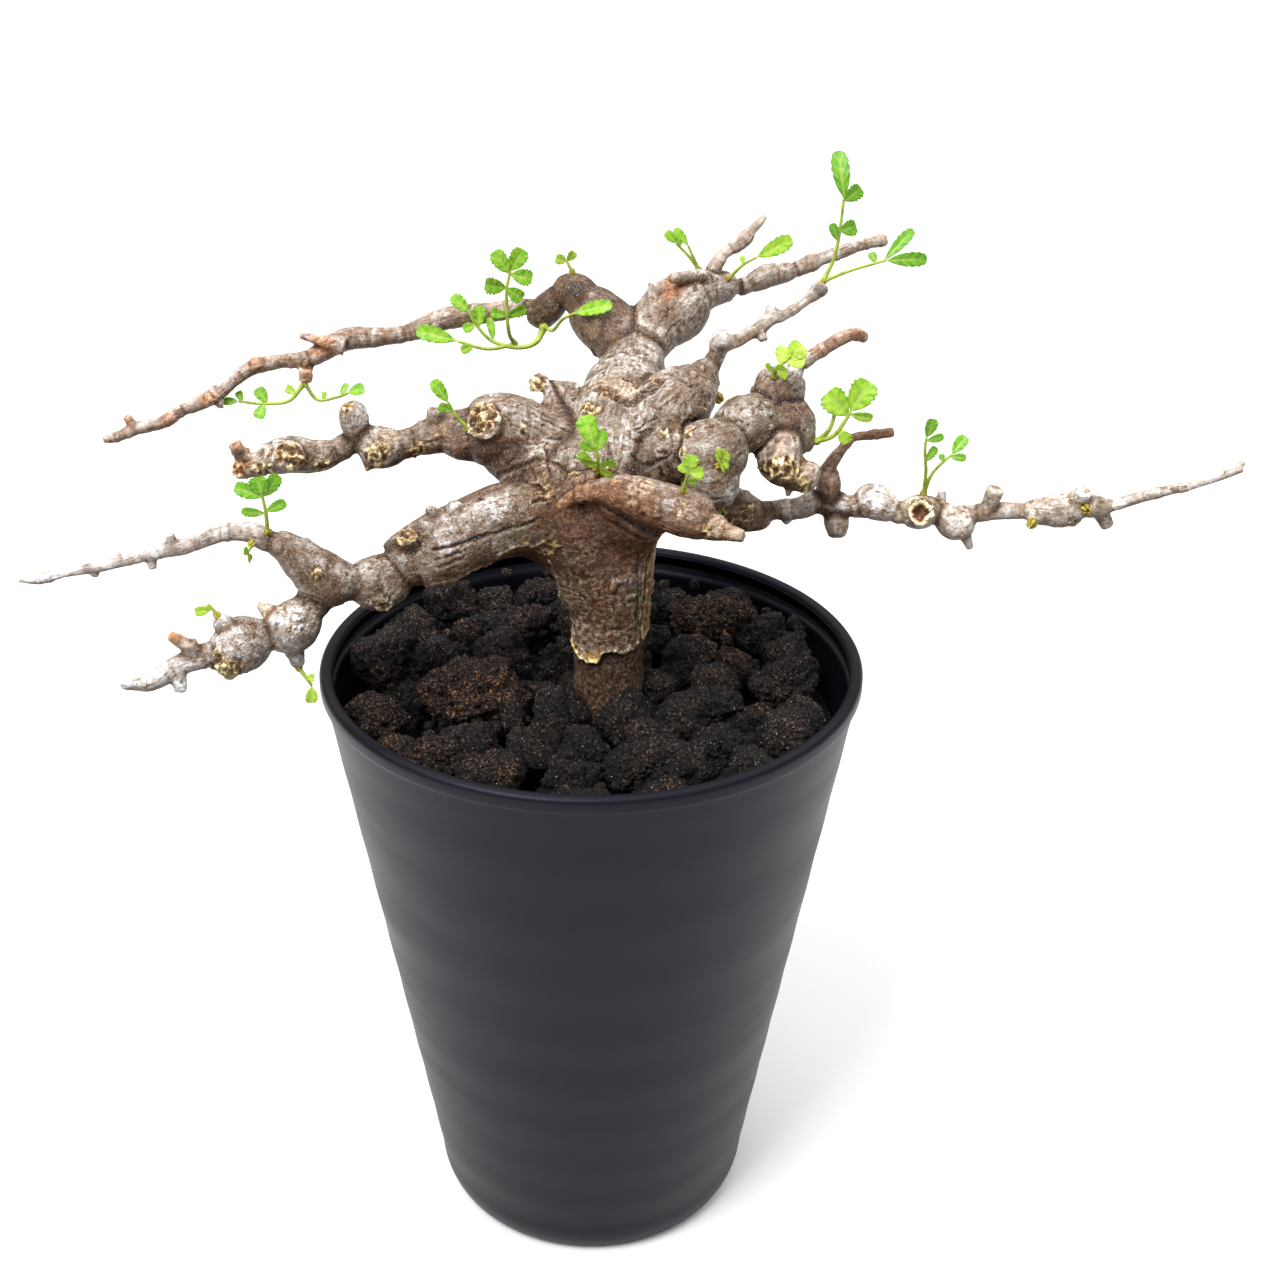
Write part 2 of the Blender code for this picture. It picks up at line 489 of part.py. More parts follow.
def pot(material):
    """The turned shell of the pot: a thin rolled rim, a straight taper and a rounded foot with drain holes."""
    inner_foot = POT_FOOT_RADIUS - WALL
    profile = [
        (POT_RIM_RADIUS - 2.6, POT_HEIGHT - 0.7),
        (POT_RIM_RADIUS - 1.8, POT_HEIGHT),
        (POT_RIM_RADIUS - 0.7, POT_HEIGHT),
        (POT_RIM_RADIUS, POT_HEIGHT - 0.8),
        (POT_RIM_RADIUS, POT_HEIGHT - RIM_HEIGHT + 0.6),
        (POT_RIM_RADIUS - 0.5, POT_HEIGHT - RIM_HEIGHT),
        (POT_TOP_RADIUS, POT_HEIGHT - RIM_HEIGHT - 0.3),
        (POT_FOOT_RADIUS, FOOT_HEIGHT),
        (POT_FOOT_RADIUS - 1.0, FOOT_HEIGHT * 0.35),
        (BASE_RADIUS, 0.0),
        (0.0, 0.0),
        (0.0, WALL),
        (BASE_RADIUS - WALL, WALL),
        (inner_foot, FOOT_HEIGHT * 0.6),
        (POT_TOP_RADIUS - WALL, POT_HEIGHT - RIM_HEIGHT),
    ]
    mesh = bmesh.new()
    edge_points = [mesh.verts.new((r, 0, z)) for r, z in profile]
    edges = [mesh.edges.new(pair) for pair in zip(edge_points, edge_points[1:] + edge_points[:1])]
    bmesh.ops.spin(
        mesh, geom=edge_points + edges, cent=(0, 0, 0), axis=(0, 0, 1), angle=2 * math.pi,
        steps=POT_SIDES, use_merge=True, use_normal_flip=False,
    )
    bmesh.ops.remove_doubles(mesh, verts=mesh.verts, dist=0.01)
    flat = [face for face in mesh.faces if face.calc_area() < 1e-6]
    bmesh.ops.delete(mesh, geom=flat, context="FACES")
    bmesh.ops.recalc_face_normals(mesh, faces=mesh.faces)
    bmesh.ops.scale(mesh, vec=(MM, MM, MM), verts=mesh.verts)
    data = bpy.data.meshes.new("pot")
    mesh.to_mesh(data)
    mesh.free()
    data.materials.append(material)
    made = bpy.data.objects.new("pot", data)
    bpy.context.scene.collection.objects.link(made)
    data.shade_smooth()
    holes = []
    for i in range(DRAIN_HOLES):
        turn = 2 * math.pi * (i + 0.5) / DRAIN_HOLES
        x, y = DRAIN_HOLE_RING * math.cos(turn), DRAIN_HOLE_RING * math.sin(turn)
        rings = np.array([(x, y, -2.0, DRAIN_HOLE_RADIUS), (x, y, WALL + 2.0, DRAIN_HOLE_RADIUS)])
        holes.append(tube(f"drain_cutter_{i}", rings, 10, material))
    boolean(made, holes, "DIFFERENCE")
    return made


def inner_radius(z):
    """Inside radius of the pot's wall at height z, in millimetres."""
    low, high = FOOT_HEIGHT * 0.6, POT_HEIGHT - RIM_HEIGHT
    share = (z - low) / (high - low)
    inner_foot = POT_FOOT_RADIUS - WALL
    return inner_foot + share * (POT_TOP_RADIUS - WALL - inner_foot)


def lava_lump(name, centre, half_sizes, turn, seed, material, detail, grow=0.0):
    """One rough lava stone: a ball pushed in and out by noise, stretched, turned and set in place. One that
    would cross the pot's wall is moved in until it clears it."""
    mesh = bmesh.new()
    bmesh.ops.create_icosphere(mesh, subdivisions=detail, radius=1.0)
    ball = np.array([v.co for v in mesh.verts])
    faces = [[v.index for v in f.verts] for f in mesh.faces]
    mesh.free()
    bumps = lattice_noise(ball * 1.7 + seed, seed) + 0.5 * lattice_noise(ball * 3.6, seed)
    rough = 1 + STONE_ROUGHNESS * bumps

    def shape(extra):
        return ball * rough[:, None] * (np.asarray(half_sizes) + extra)

    c, s = math.cos(turn), math.sin(turn)
    turned = np.array([[c, s, 0], [-s, c, 0], [0, 0, 1]])
    places = shape(0.0) @ turned + np.asarray(centre)
    room = inner_radius(places[:, 2]) * math.cos(math.pi / POT_SIDES) - CLEARANCE
    over = max(0.0, (np.hypot(places[:, 0], places[:, 1]) - room).max())
    inward = -np.array([centre[0], centre[1], 0.0]) / max(math.hypot(centre[0], centre[1]), 1e-6)
    return object_from(name, shape(grow) @ turned + np.asarray(centre) + over * inward, faces, material)


def loose_stone(index, material, grow=0.0):
    """One of the largest stones, which lies in its own socket among the rest."""
    x, y, width, proud = LOOSE_STONES[index]
    draw = np.random.default_rng(100 + index)
    half = width / 2 * np.array([1.0, draw.uniform(0.78, 0.92), draw.uniform(0.62, 0.74)])
    centre = (x, y, GRAVEL_LEVEL + proud)
    name = f"lava_stone_{index + 1:02d}"
    return lava_lump(name, centre, half, draw.uniform(0, math.pi), 40 + index, material, 2, grow)


def gravel(material):
    """The pot's filling: a packed core with its top stones fused on, a hole for the root and a socket for
    each loose stone."""
    top, bottom = GRAVEL_CORE_TOP, WALL + CLEARANCE
    rings = np.array([
        (0, 0, bottom, BASE_RADIUS - WALL - 1.6),
        (0, 0, FOOT_HEIGHT * 0.6 + 1.5, inner_radius(FOOT_HEIGHT * 0.6) - CLEARANCE - 0.6),
        (0, 0, top, inner_radius(top) - CLEARANCE - 0.3),
    ])
    core = tube("gravel", rings, POT_SIDES, material)
    draw = np.random.default_rng(7)
    stones = []
    rows = int(POT_RIM_RADIUS // STONE_SPACING) + 1
    for i in range(-rows, rows + 1):
        for j in range(-rows, rows + 1):
            x = STONE_SPACING * (i + 0.5 * (j % 2)) + draw.uniform(-1.6, 1.6)
            y = STONE_SPACING * 0.87 * j + draw.uniform(-1.6, 1.6)
            radius = draw.uniform(*STONE_RADIUS)
            half = radius * np.array([1.0, draw.uniform(0.8, 1.0), draw.uniform(0.75, 0.95)])
            turn, seed = draw.uniform(0, math.pi), int(draw.integers(1, 10000))
            height = GRAVEL_LEVEL + draw.uniform(-1.4, 1.6)
            if math.hypot(x, y) > inner_radius(GRAVEL_CORE_TOP) - 0.6 * radius:
                continue
            if any(math.hypot(x - sx, y - sy) < width * 0.36 for sx, sy, width, _ in LOOSE_STONES):
                continue
            name = f"top_stone_{len(stones)}"
            stones.append(lava_lump(name, (x, y, height), half, turn, seed, material, 1))
    boolean(core, stones, "UNION", "MANIFOLD")
    x, y = ROOT_AXIS
    radius = ROOT_RADIUS * (1 + LUMP) + CLEARANCE
    hole = np.array([(x, y, ROOT_FOOT - CLEARANCE, radius), (x, y, POT_HEIGHT, radius)])
    cutters = [tube("root_cutter", hole, 20, material)]
    cutters += [loose_stone(i, material, grow=2 * CLEARANCE) for i in range(len(LOOSE_STONES))]
    boolean(core, cutters, "DIFFERENCE", "MANIFOLD")
    drop_scraps(core)
    return core


def wood(material):
    """Trunk, limbs, beads, twigs and spurs, grown as one body."""
    parts = []
    for index, (name, stations) in enumerate(LIMBS.items()):
        widest = max(station[3] for station in stations)
        rings = smooth_stations(stations, 2 if widest > SMOOTHED_RADIUS else 1)
        sides = next(count for least, count in TUBE_SIDES if widest > least)
        parts.append(tube(name, rings, sides, material, lump=LUMP, seed=index))
    for index, (foot, top, foot_radius, top_radius) in enumerate(SPURS):
        rings = np.array([(*foot, foot_radius), (*top, top_radius)], float)
        sides = 6 if foot_radius > SMOOTHED_RADIUS else 5
        parts.append(tube(f"spur_{index}", rings, sides, material))
    trunk = parts[0]
    trunk.name = "wood"
    boolean(trunk, parts[1:], "UNION", "MANIFOLD")
    return trunk


def seat_on(tree, rough):
    """The nearest place on the wood to a rough point, and the way out of the wood there, in millimetres."""
    place, normal, _, _ = tree.find_nearest(Vector(rough) * MM)
    return np.array(place) / MM, np.array(normal)


def leaflet_edge(length, width):
    """One side of a leaflet's outline from its root to near its tip: how far along, how far out."""
    if length < TOOTHED_LENGTH:
        return [(0.42 * length, 0.50 * width), (0.75 * length, 0.36 * width)]
    return [(0.24 * length, 0.46 * width), (0.40 * length, 0.37 * width), (0.58 * length, 0.47 * width),
            (0.72 * length, 0.27 * width)]


def leaf_outline(bends, leaflets, narrowing):
    """A compound leaf's outline cut to its rib, as (along the stalk, across it): up one side, round the
    leaflet at the tip and down the other side. The stalk has points at its bends, the last one its end."""
    stalk_length = bends[-1]
    half = STALK_WIDTH / 2
    runs = []
    for side in (1, -1):
        run = [(0.0, side * half)]
        for share, _, length, width, angle in sorted(l for l in leaflets if l[1] == side):
            root = min(share * stalk_length, stalk_length - half - 0.05)
            turn = math.radians(angle)
            edge = leaflet_edge(length, width * narrowing)
            blade = edge + [(length, 0.0)] + [(x, -y) for x, y in reversed(edge)]
            run += [(bend, side * half) for bend in bends if run[-1][0] < bend < root - half]
            run.append((root - half, side * half))
            for x, y in blade:
                along = root + x * math.cos(turn) - y * math.sin(turn)
                run.append((along, side * max(x * math.sin(turn) + y * math.cos(turn), half + 0.1)))
            run.append((root + half, side * half))
        run += [(bend, side * half) for bend in bends if bend > run[-1][0]]
        runs.append(run)
    middle = []
    for _, _, length, width, angle in (l for l in leaflets if l[1] == 0):
        turn = math.radians(angle)
        edge = leaflet_edge(length, width * narrowing)
        for x, y in edge + [(length, 0.0)] + [(x, -y) for x, y in reversed(edge)]:
            middle.append((stalk_length + x * math.cos(turn) - y * math.sin(turn),
                           x * math.sin(turn) + y * math.cos(turn)))
    return runs[0] + middle + runs[1][::-1]


def crosses_itself(outline):
    """Whether any two edges of a flat outline cross or come too near each other."""
    ends = [Vector(point) for point in outline]
    edges = list(zip(ends, ends[1:] + ends[:1]))
    for i, (a, b) in enumerate(edges):
        for c, d in edges[i + 2 :]:
            if c is b or d is a:
                continue
            if intersect_line_line_2d(a, b, c, d) is not None:
                return True
    return False


def short_triangles(outline):
    """The outline's inside cut into short triangles, so that they follow the stalk where it bends."""
    points = [Vector(point) for point in outline]
    found = delaunay_2d_cdt(points, [], [list(range(len(points)))], 1, 1e-4)
    original = [sources[0] for sources in found[3]]
    return [tuple(original[corner] for corner in face) for face in found[2]]


def leaf(name, line, face, leaflets, material):
    """A compound leaf: its stalk and leaflets are one arched blade, which follows the stalk's line."""
    route = smooth_stations(np.column_stack([line, np.ones(len(line))]), CURVE_STEPS)[:, :3]
    reach = np.concatenate([[0], np.cumsum(np.linalg.norm(np.diff(route, axis=0), axis=1))])
    bends = reach[CURVE_STEPS::CURVE_STEPS]
    narrowing = 1.0
    while crosses_itself(leaf_outline(bends, leaflets, narrowing)) and narrowing > NARROWEST:
        narrowing -= NARROWING_STEP
    outline = np.array(leaf_outline(bends, leaflets, narrowing))
    along = np.gradient(route, reach, axis=0)
    along = np.stack([np.interp(outline[:, 0], reach, along[:, c]) for c in range(3)], axis=1)
    along /= np.linalg.norm(along, axis=1)[:, None]
    across = np.cross(np.asarray(face, float), along)
    across /= np.linalg.norm(across, axis=1)[:, None]
    out = np.cross(along, across)
    places = np.stack([np.interp(outline[:, 0], reach, route[:, c]) for c in range(3)], axis=1)
    past_end = np.clip(outline[:, 0] - reach[-1], 0, None)
    places += along * past_end[:, None] + across * outline[:, 1][:, None]
    places -= out * (ARCH * (outline[:, 1] ** 2 + past_end**2))[:, None]
    lift = out * BLADE_THICKNESS / 2
    count = len(outline)
    top = short_triangles(outline)
    faces = [*top, *[(a + count, c + count, b + count) for a, b, c in top]]
    for a in range(count):
        b = (a + 1) % count
        faces += [(a, b, b + count), (a, b + count, a + count)]
    return face_outward(object_from(name, np.vstack([places + lift, places - lift]), faces, material))


def shoot(name, rough_foot, leaves, tree, material):
    """A green shoot seated in the wood: a peg in its hole with its leaves, all one body, and the cutter for
    the hole."""
    foot, out = seat_on(tree, rough_foot)
    peg_line = np.array([foot - PEG_DEPTH * out, foot + BUD_FOOT * out, foot + BUD_TOP * out])
    peg = np.column_stack([peg_line, [PEG_RADIUS, PEG_RADIUS, BUD_RADIUS]])
    body = tube(name, peg, 5, material)
    blades = [
        leaf(f"{name}_{i}", np.array(line) + foot + LEAF_RISE * out - rough_foot, face, leaflets, material)
        for i, (line, face, leaflets) in enumerate(leaves)
    ]
    boolean(body, blades, "UNION", "MANIFOLD")
    hole_line = np.array([foot - (PEG_DEPTH + CLEARANCE) * out, foot + HOLE_RISE * out])
    hole = np.column_stack([hole_line, [HOLE_RADIUS, HOLE_RADIUS]])
    return body, tube(f"{name}_hole", hole, 6, material)


def main():
    clear_scene()
    plastic = finish("black plastic", (0.020, 0.020, 0.024), 0.42)
    lava = finish("black lava", (0.030, 0.024, 0.021), 0.95)
    bark = finish("grey bark", (0.205, 0.160, 0.135), 0.85)
    green = finish("green leaf", (0.190, 0.520, 0.050), 0.45)
    pot(plastic)
    gravel(lava)
    for index in range(len(LOOSE_STONES)):
        loose_stone(index, lava)
    plant = wood(bark)
    tree = BVHTree.FromObject(plant, bpy.context.evaluated_depsgraph_get())
    holes = []
    for name, (foot, leaves) in SHOOTS.items():
        _, hole = shoot(name, foot, leaves, tree, green)
        holes.append(hole)
    boolean(plant, holes, "DIFFERENCE", "MANIFOLD")
    drop_scraps(plant)


main()
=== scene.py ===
# Potted commiphora: a small beaded tree in lava gravel, in a tapered black plastic nursery pot.
# Lengths are in millimetres until a mesh is made. +X is to the right, +Y to the back and +Z up.
import math
import time
from functools import partial

import bpy
import numpy as np
from mathutils import Matrix, Vector
from mathutils.bvhtree import BVHTree


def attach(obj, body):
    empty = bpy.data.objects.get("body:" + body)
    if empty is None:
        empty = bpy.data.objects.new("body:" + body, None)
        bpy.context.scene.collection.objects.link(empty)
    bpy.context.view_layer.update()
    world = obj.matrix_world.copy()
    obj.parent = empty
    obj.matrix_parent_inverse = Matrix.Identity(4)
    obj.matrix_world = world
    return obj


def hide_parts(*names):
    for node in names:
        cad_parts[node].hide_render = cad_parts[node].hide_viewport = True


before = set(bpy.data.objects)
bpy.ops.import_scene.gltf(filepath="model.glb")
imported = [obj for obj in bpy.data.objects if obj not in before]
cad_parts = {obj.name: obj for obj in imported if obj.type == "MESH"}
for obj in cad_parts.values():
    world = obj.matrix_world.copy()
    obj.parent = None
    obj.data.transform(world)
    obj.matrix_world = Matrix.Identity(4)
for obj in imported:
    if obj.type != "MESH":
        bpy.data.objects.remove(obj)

startTime = time.time()
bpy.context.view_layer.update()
mm = 0.001


def report(stage):
    print(f"{time.time() - startTime:6.1f} s  {stage}")


def table(text):
    # rows of numbers, parted by semicolons
    return [tuple(map(float, row.split())) for row in text.split(";")]


def tables(text):
    # tables parted by bars
    return [table(part) for part in text.split("|")]


def labelled(text):
    # pairs of a name and the text after its colon, parted by blank lines
    return [part.split(":") for part in text.strip().split("\n\n")]


# Shared makers of objects, meshes and materials
def addObject(name, data):
    made = bpy.data.objects.new(name, data)
    bpy.context.scene.collection.objects.link(made)
    return made


def linearColour(hexColour):
    # sRGB hex to linear, by the standard's own curve
    parts = [int(hexColour[i : i + 2], 16) / 255 for i in (1, 3, 5)]
    return (*[p / 12.92 if p <= 0.04045 else ((p + 0.055) / 1.055) ** 2.4 for p in parts], 1.0)


def setInputs(tree, node, inputs):
    # inputs in socket order, or by name or number, each a link, a hex colour or a value
    for name, value in inputs.items() if isinstance(inputs, dict) else enumerate(inputs):
        if isinstance(value, bpy.types.NodeSocket):
            tree.links.new(value, node.inputs[name])
        else:
            node.inputs[name].default_value = linearColour(value) if isinstance(value, str) else value


def addNode(tree, kind, inputs=(), out=0, stops=(), **settings):
    # one node with its settings and inputs; what comes back is its first output, or else the one out names
    node = tree.nodes.new("ShaderNode" + kind)
    for name, value in settings.items():
        setattr(node, name, value)
    setInputs(tree, node, inputs)
    if stops:
        ramp = node.color_ramp
        while len(ramp.elements) < len(stops):
            ramp.elements.new(0.5)
        for element, (place, colour) in zip(ramp.elements, stops):
            element.position = place
            element.color = linearColour(colour)
    return node.outputs if out is None else node.outputs[out]


def startMaterial(name):
    # an empty material, the way to add a node to it, and the place on the piece
    made = bpy.data.materials.new(name)
    made.use_nodes = True
    add = partial(addNode, made.node_tree)
    return made, add, add("TexCoord", out="Object")


def finishMaterial(made, inputs):
    setInputs(made.node_tree, made.node_tree.nodes["Principled BSDF"], inputs)
    return made


def latticeNoise(points, seed):
    # smooth noise from -1 to 1: seeded random values on a unit lattice, eased between its corners
    cell = np.floor(points).astype(np.int64)
    part = points - cell
    ease = part * part * (3 - 2 * part)
    total = np.zeros(len(points))
    for corner in np.ndindex(2, 2, 2):
        key = (cell + np.array(corner)) @ np.array([73856093, 19349663, 83492791]) + seed * 2654435761
        key = (key ^ (key >> 13)) * 1274126177 & 0xFFFFFFFF
        value = ((key ^ (key >> 16)) & 0xFFFF) / 32767.5 - 1
        weight = np.prod(np.where(corner, ease, 1 - ease), axis=1)
        total += weight * value
    return total


def fractalNoise(points, seed, octaves=3):
    # lattice noise at doubling fineness and halving strength
    total = sum(latticeNoise(points * 2**i + 17.3 * i, seed + i) / 2**i for i in range(octaves))
    return total / (2 - 2 ** (1 - octaves))


def smoothStep(low, high, values):
    share = np.clip((values - low) / (high - low), 0, 1)
    return share * share * (3 - 2 * share)


def distance(points, place):
    return np.linalg.norm(points - place, axis=1)


def unit(vectors):
    return vectors / np.linalg.norm(vectors, axis=1)[:, None]


def gridFaces(rows, columns):
    # quads of a grid of points, row after row, whose columns meet round a ring
    row = np.arange(rows - 1)[:, None] * columns
    column = np.arange(columns)[None, :]
    after = (column + 1) % columns
    return np.stack([row + column, row + after, row + after + columns, row + column + columns],
                    -1).reshape(-1, 4)


def fan(ring, after, middle):
    # triangles from each pair of neighbours round a ring to one point
    return np.column_stack([ring, after, np.full(len(ring), middle)])


def makePiece(name, points, faces, materials, replaced=(), attributes=None, faceMaterials=None):
    # a mesh at the origin, from points in millimetres and arrays of triangles or quads
    mesh = bpy.data.meshes.new(name)
    faces = [faces] if isinstance(faces, np.ndarray) else faces
    mesh.from_pydata((np.asarray(points, float) * mm).tolist(), [],
                     [f for part in faces for f in part.tolist()])
    for material in materials:
        mesh.materials.append(material)
    if faceMaterials is not None:
        mesh.polygons.foreach_set("material_index", np.asarray(faceMaterials, np.int32))
    for label, values in (attributes or {}).items():
        values = np.asarray(values, np.float32)
        kind = "FLOAT" if values.ndim == 1 else "FLOAT_VECTOR"
        layer = mesh.attributes.new(label, kind, "POINT")
        layer.data.foreach_set("value" if values.ndim == 1 else "vector", values.ravel())
    mesh.shade_smooth()
    made = addObject(name, mesh)
    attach(made, "root")
    if replaced:
        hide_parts(*replaced)


# Shapes shared by the wood, the stones and the leaves
def smoothStations(stations, steps):
    # Catmull-Rom points between the stations; between two radii the run stays near the larger one, so that
    # a swelling is round and the neck beside it is a crease
    known = np.asarray(stations, float)
    padded = np.vstack([2 * known[0] - known[1], known, 2 * known[-1] - known[-2]])
    a, b, c, d = (padded[i : len(known) - 1 + i, None, :] for i in range(4))
    t = (np.arange(steps) / steps)[None, :, None]
    rows = 0.5 * (2 * b + (c - a) * t + (2 * a - 5 * b + 4 * c - d) * t**2 + (3 * b - a - 3 * c + d) * t**3)
    if known.shape[1] > 3:
        towardLarger = np.where(c[..., 3] > b[..., 3], t[..., 0], 1 - t[..., 0])
        swell = np.abs(c - b)[..., 3] * np.sin(math.pi / 2 * towardLarger) ** 0.7
        rows[..., 3] = np.minimum(b, c)[..., 3] + swell
    return np.vstack([rows.reshape(-1, known.shape[1]), known[-1:]])


def ringAxes(path):
    # the way along a path and two unit vectors across it, kept from twisting by one fixed world axis
    along = unit(np.gradient(path, axis=0))
    steadiest = np.argmin(np.abs(along).max(axis=0))
    across = unit(np.cross(along, np.eye(3)[steadiest]))
    return along, across, np.cross(along, across)


def tube(rings, sides, lump=0.0, seed=0):
    # a ring of points round each station of (x, y, z, radius), pushed out or in by lumps some 5 mm long, with
    # a fan over each end
    path, radius = rings[:, :3], rings[:, 3]
    _, across, up = ringAxes(path)
    turn = np.arange(sides) * 2 * math.pi / sides
    out = across[:, None] * np.cos(turn)[None, :, None] + up[:, None] * np.sin(turn)[None, :, None]
    places = path[:, None] + out * radius[:, None, None]
    swell = np.ones(places.shape[:2])
    if lump:
        swell += lump * latticeNoise(places.reshape(-1, 3) / 5.0, seed).reshape(swell.shape)
    points = (path[:, None] + out * (radius[:, None] * swell)[:, :, None]).reshape(-1, 3)
    last, side, count = (len(path) - 1) * sides, np.arange(sides), len(points)
    after = (side + 1) % sides
    fans = np.vstack([fan(after, side, count), fan(last + side, last + after, count + 1)])
    return np.vstack([points, path[:1], path[-1:]]), gridFaces(len(path), sides), fans


def joined(places, *faces):
    # several bodies as one: their points in one list, and each list of their faces counted on
    starts = np.cumsum([0] + [len(part) for part in places])
    return [np.vstack(places)] + [np.vstack([part + i for part, i in zip(kind, starts)]) for kind in faces]


def cubeBall(cells):
    # a ball made of six curved squares: points of a cube's faces, moved out to the unit sphere and welded
    ticks = np.tan((np.arange(cells + 1) / cells - 0.5) * math.pi / 2)
    u, v = np.meshgrid(ticks, ticks, indexing="ij")
    flat = np.stack([u, v, np.ones_like(u)], -1).reshape(-1, 3)
    row = np.arange(cells)[:, None] * (cells + 1)
    corner = (row + np.arange(cells)[None, :]).reshape(-1)
    square = np.column_stack([corner, corner + cells + 1, corner + cells + 2, corner + 1])
    sides = [flat @ np.array(m).T for m in (
        [[1, 0, 0], [0, 1, 0], [0, 0, 1]], [[1, 0, 0], [0, -1, 0], [0, 0, -1]],
        [[0, 0, 1], [1, 0, 0], [0, 1, 0]], [[0, 0, -1], [-1, 0, 0], [0, 1, 0]],
        [[0, 1, 0], [0, 0, 1], [1, 0, 0]], [[0, 1, 0], [0, 0, -1], [-1, 0, 0]])]
    points = np.vstack(sides)
    points /= np.linalg.norm(points, axis=1)[:, None]
    faces = np.vstack([square + i * len(flat) for i in range(6)])
    _, first, index = np.unique(np.round(points, 6), axis=0, return_index=True, return_inverse=True)
    points, faces = points[first], index.reshape(-1)[faces]
    middle = points[faces].mean(axis=1)
    turned = np.einsum("ij,ij->i", np.cross(points[faces[:, 1]] - points[faces[:, 0]],
                                           points[faces[:, 2]] - points[faces[:, 0]]), middle) < 0
    faces[turned] = faces[turned][:, ::-1]
    return points, faces


# The pot: polypropylene, injection moulded, with a fine matt grain, slow ripples in its wall and a rolled rim
pot = {
    "height": 126.0, "rimRadius": 52.5, "topRadius": 51.7, "footRadius": 33.4, "footHeight": 8.0,
    "baseRadius": 29.5, "rimHeight": 3.2, "wall": 1.5, "sides": 256, "wallRings": 90,
    "innerFoot": 4.8, "roll": (1.3, 1.2), "rippleSize": 0.05, "rippleHeight": 13.0,
    "colour": "#08080c", "sheenColour": "#0e0f15", "roughness": 0.42, "specular": 0.24,
    "specularTint": "#e3e2ff",
}


def blackPolypropylene():
    # moulded black polypropylene: a soft wide gloss, slightly bluish, with flow marks that run round the wall
    made, add, place = startMaterial("blackPolypropylene")
    # marks some 10 mm high, drawn out sideways
    round = add("Mapping", {"Vector": place, "Scale": (9, 9, 60)})
    flow = add("TexNoise", {"Vector": round, "Scale": 1.6, "Detail": 3.0, "Roughness": 0.55})
    tint = add("ValToRGB", [flow], stops=[(0.35, pot["colour"]), (0.7, pot["sheenColour"])])
    gloss = add("MapRange", [flow, 0.3, 0.7, pot["roughness"] - 0.05, pot["roughness"] + 0.07])
    grain = add("TexNoise", {"Vector": place, "Scale": 2600.0, "Detail": 2.0})  # 0.4 mm spark texture
    bump = add("Bump", {"Height": grain, "Strength": 0.10, "Distance": 0.00008})
    return finishMaterial(made, {"Base Color": tint, "Roughness": gloss, "Normal": bump, "IOR": 1.49,
                                 "Specular IOR Level": pot["specular"], "Specular Tint": pot["specularTint"]})


def potProfile():
    # half a section as (radius, height): over the rim and down the outside, then up the inside
    rim, top, foot, base = (pot[name] for name in ("rimRadius", "topRadius", "footRadius", "baseRadius"))
    low, thick, footHeight = pot["height"] - pot["rimHeight"], pot["wall"], pot["footHeight"]
    rollWidth, rollHeight = pot["roll"]
    turn = np.linspace(math.pi, -0.1, 15)
    roll = np.column_stack([rim - rollWidth + rollWidth * np.cos(turn),
                            pot["height"] - rollHeight + rollHeight * np.sin(turn)])
    lip = [(rim, low + 0.5), (rim - 0.15, low + 0.12), (rim - 0.5, low), (top + 0.1, low - 0.06),
           (top, low - 0.35)]
    share = np.linspace(0, 1, pot["wallRings"])[1:]
    height = (low - 0.35) + share * (footHeight - (low - 0.35))
    fade = smoothStep(0, 0.08, share) * smoothStep(1.0, 0.95, share)
    wave = np.sin(height / pot["rippleHeight"] * 2 * math.pi + 2.2 * np.sin(height / 31))
    wall = np.column_stack([top + share * (foot - top) + pot["rippleSize"] * fade * wave, height])
    bend = np.linspace(0, math.pi / 2, 10)[1:]
    curve = np.column_stack([base + (foot - base) * np.cos(bend), footHeight * (1 - np.sin(bend))])
    floorOut = np.column_stack([np.linspace(base, 0, 24)[1:-1], np.zeros(22)])
    floorIn = np.column_stack([np.linspace(0, base - thick, 24)[1:], np.full(23, thick)])
    inside = np.column_stack([np.linspace(foot - thick, top - thick, 40),
                              np.linspace(pot["innerFoot"], low, 40)])
    return np.vstack([roll, lip, wall, curve, floorOut]), np.vstack([floorIn, inside])


def buildPot():
    # both skins are profiles spun round the pot's axis; the ring between them closes the rim
    outer, inner = potProfile()
    sides = pot["sides"]
    column = np.arange(sides)
    turn, after = column * 2 * math.pi / sides, (column + 1) % sides

    def spin(profile):
        radius, height = profile.T[:, :, None]
        return np.stack([radius * np.cos(turn), radius * np.sin(turn), height + 0 * turn], -1).reshape(-1, 3)

    points = np.vstack([spin(outer), [(0, 0, 0)], [(0, 0, pot["wall"])], spin(inner)])
    under = len(outer) * sides  # the middle of the floor's outside, then that of its inside
    last, inside = under - sides, under + 2
    lastInside = inside + (len(inner) - 1) * sides
    faces = [gridFaces(len(outer), sides)[:, ::-1], fan(last + after, last + column, under),
             fan(inside + column, inside + after, under + 1),
             (gridFaces(len(inner), sides) + inside)[:, ::-1],
             np.column_stack([lastInside + column, column, after, lastInside + after])[:, ::-1]]
    makePiece("potShell", points, faces, [blackPolypropylene()], ["pot"])


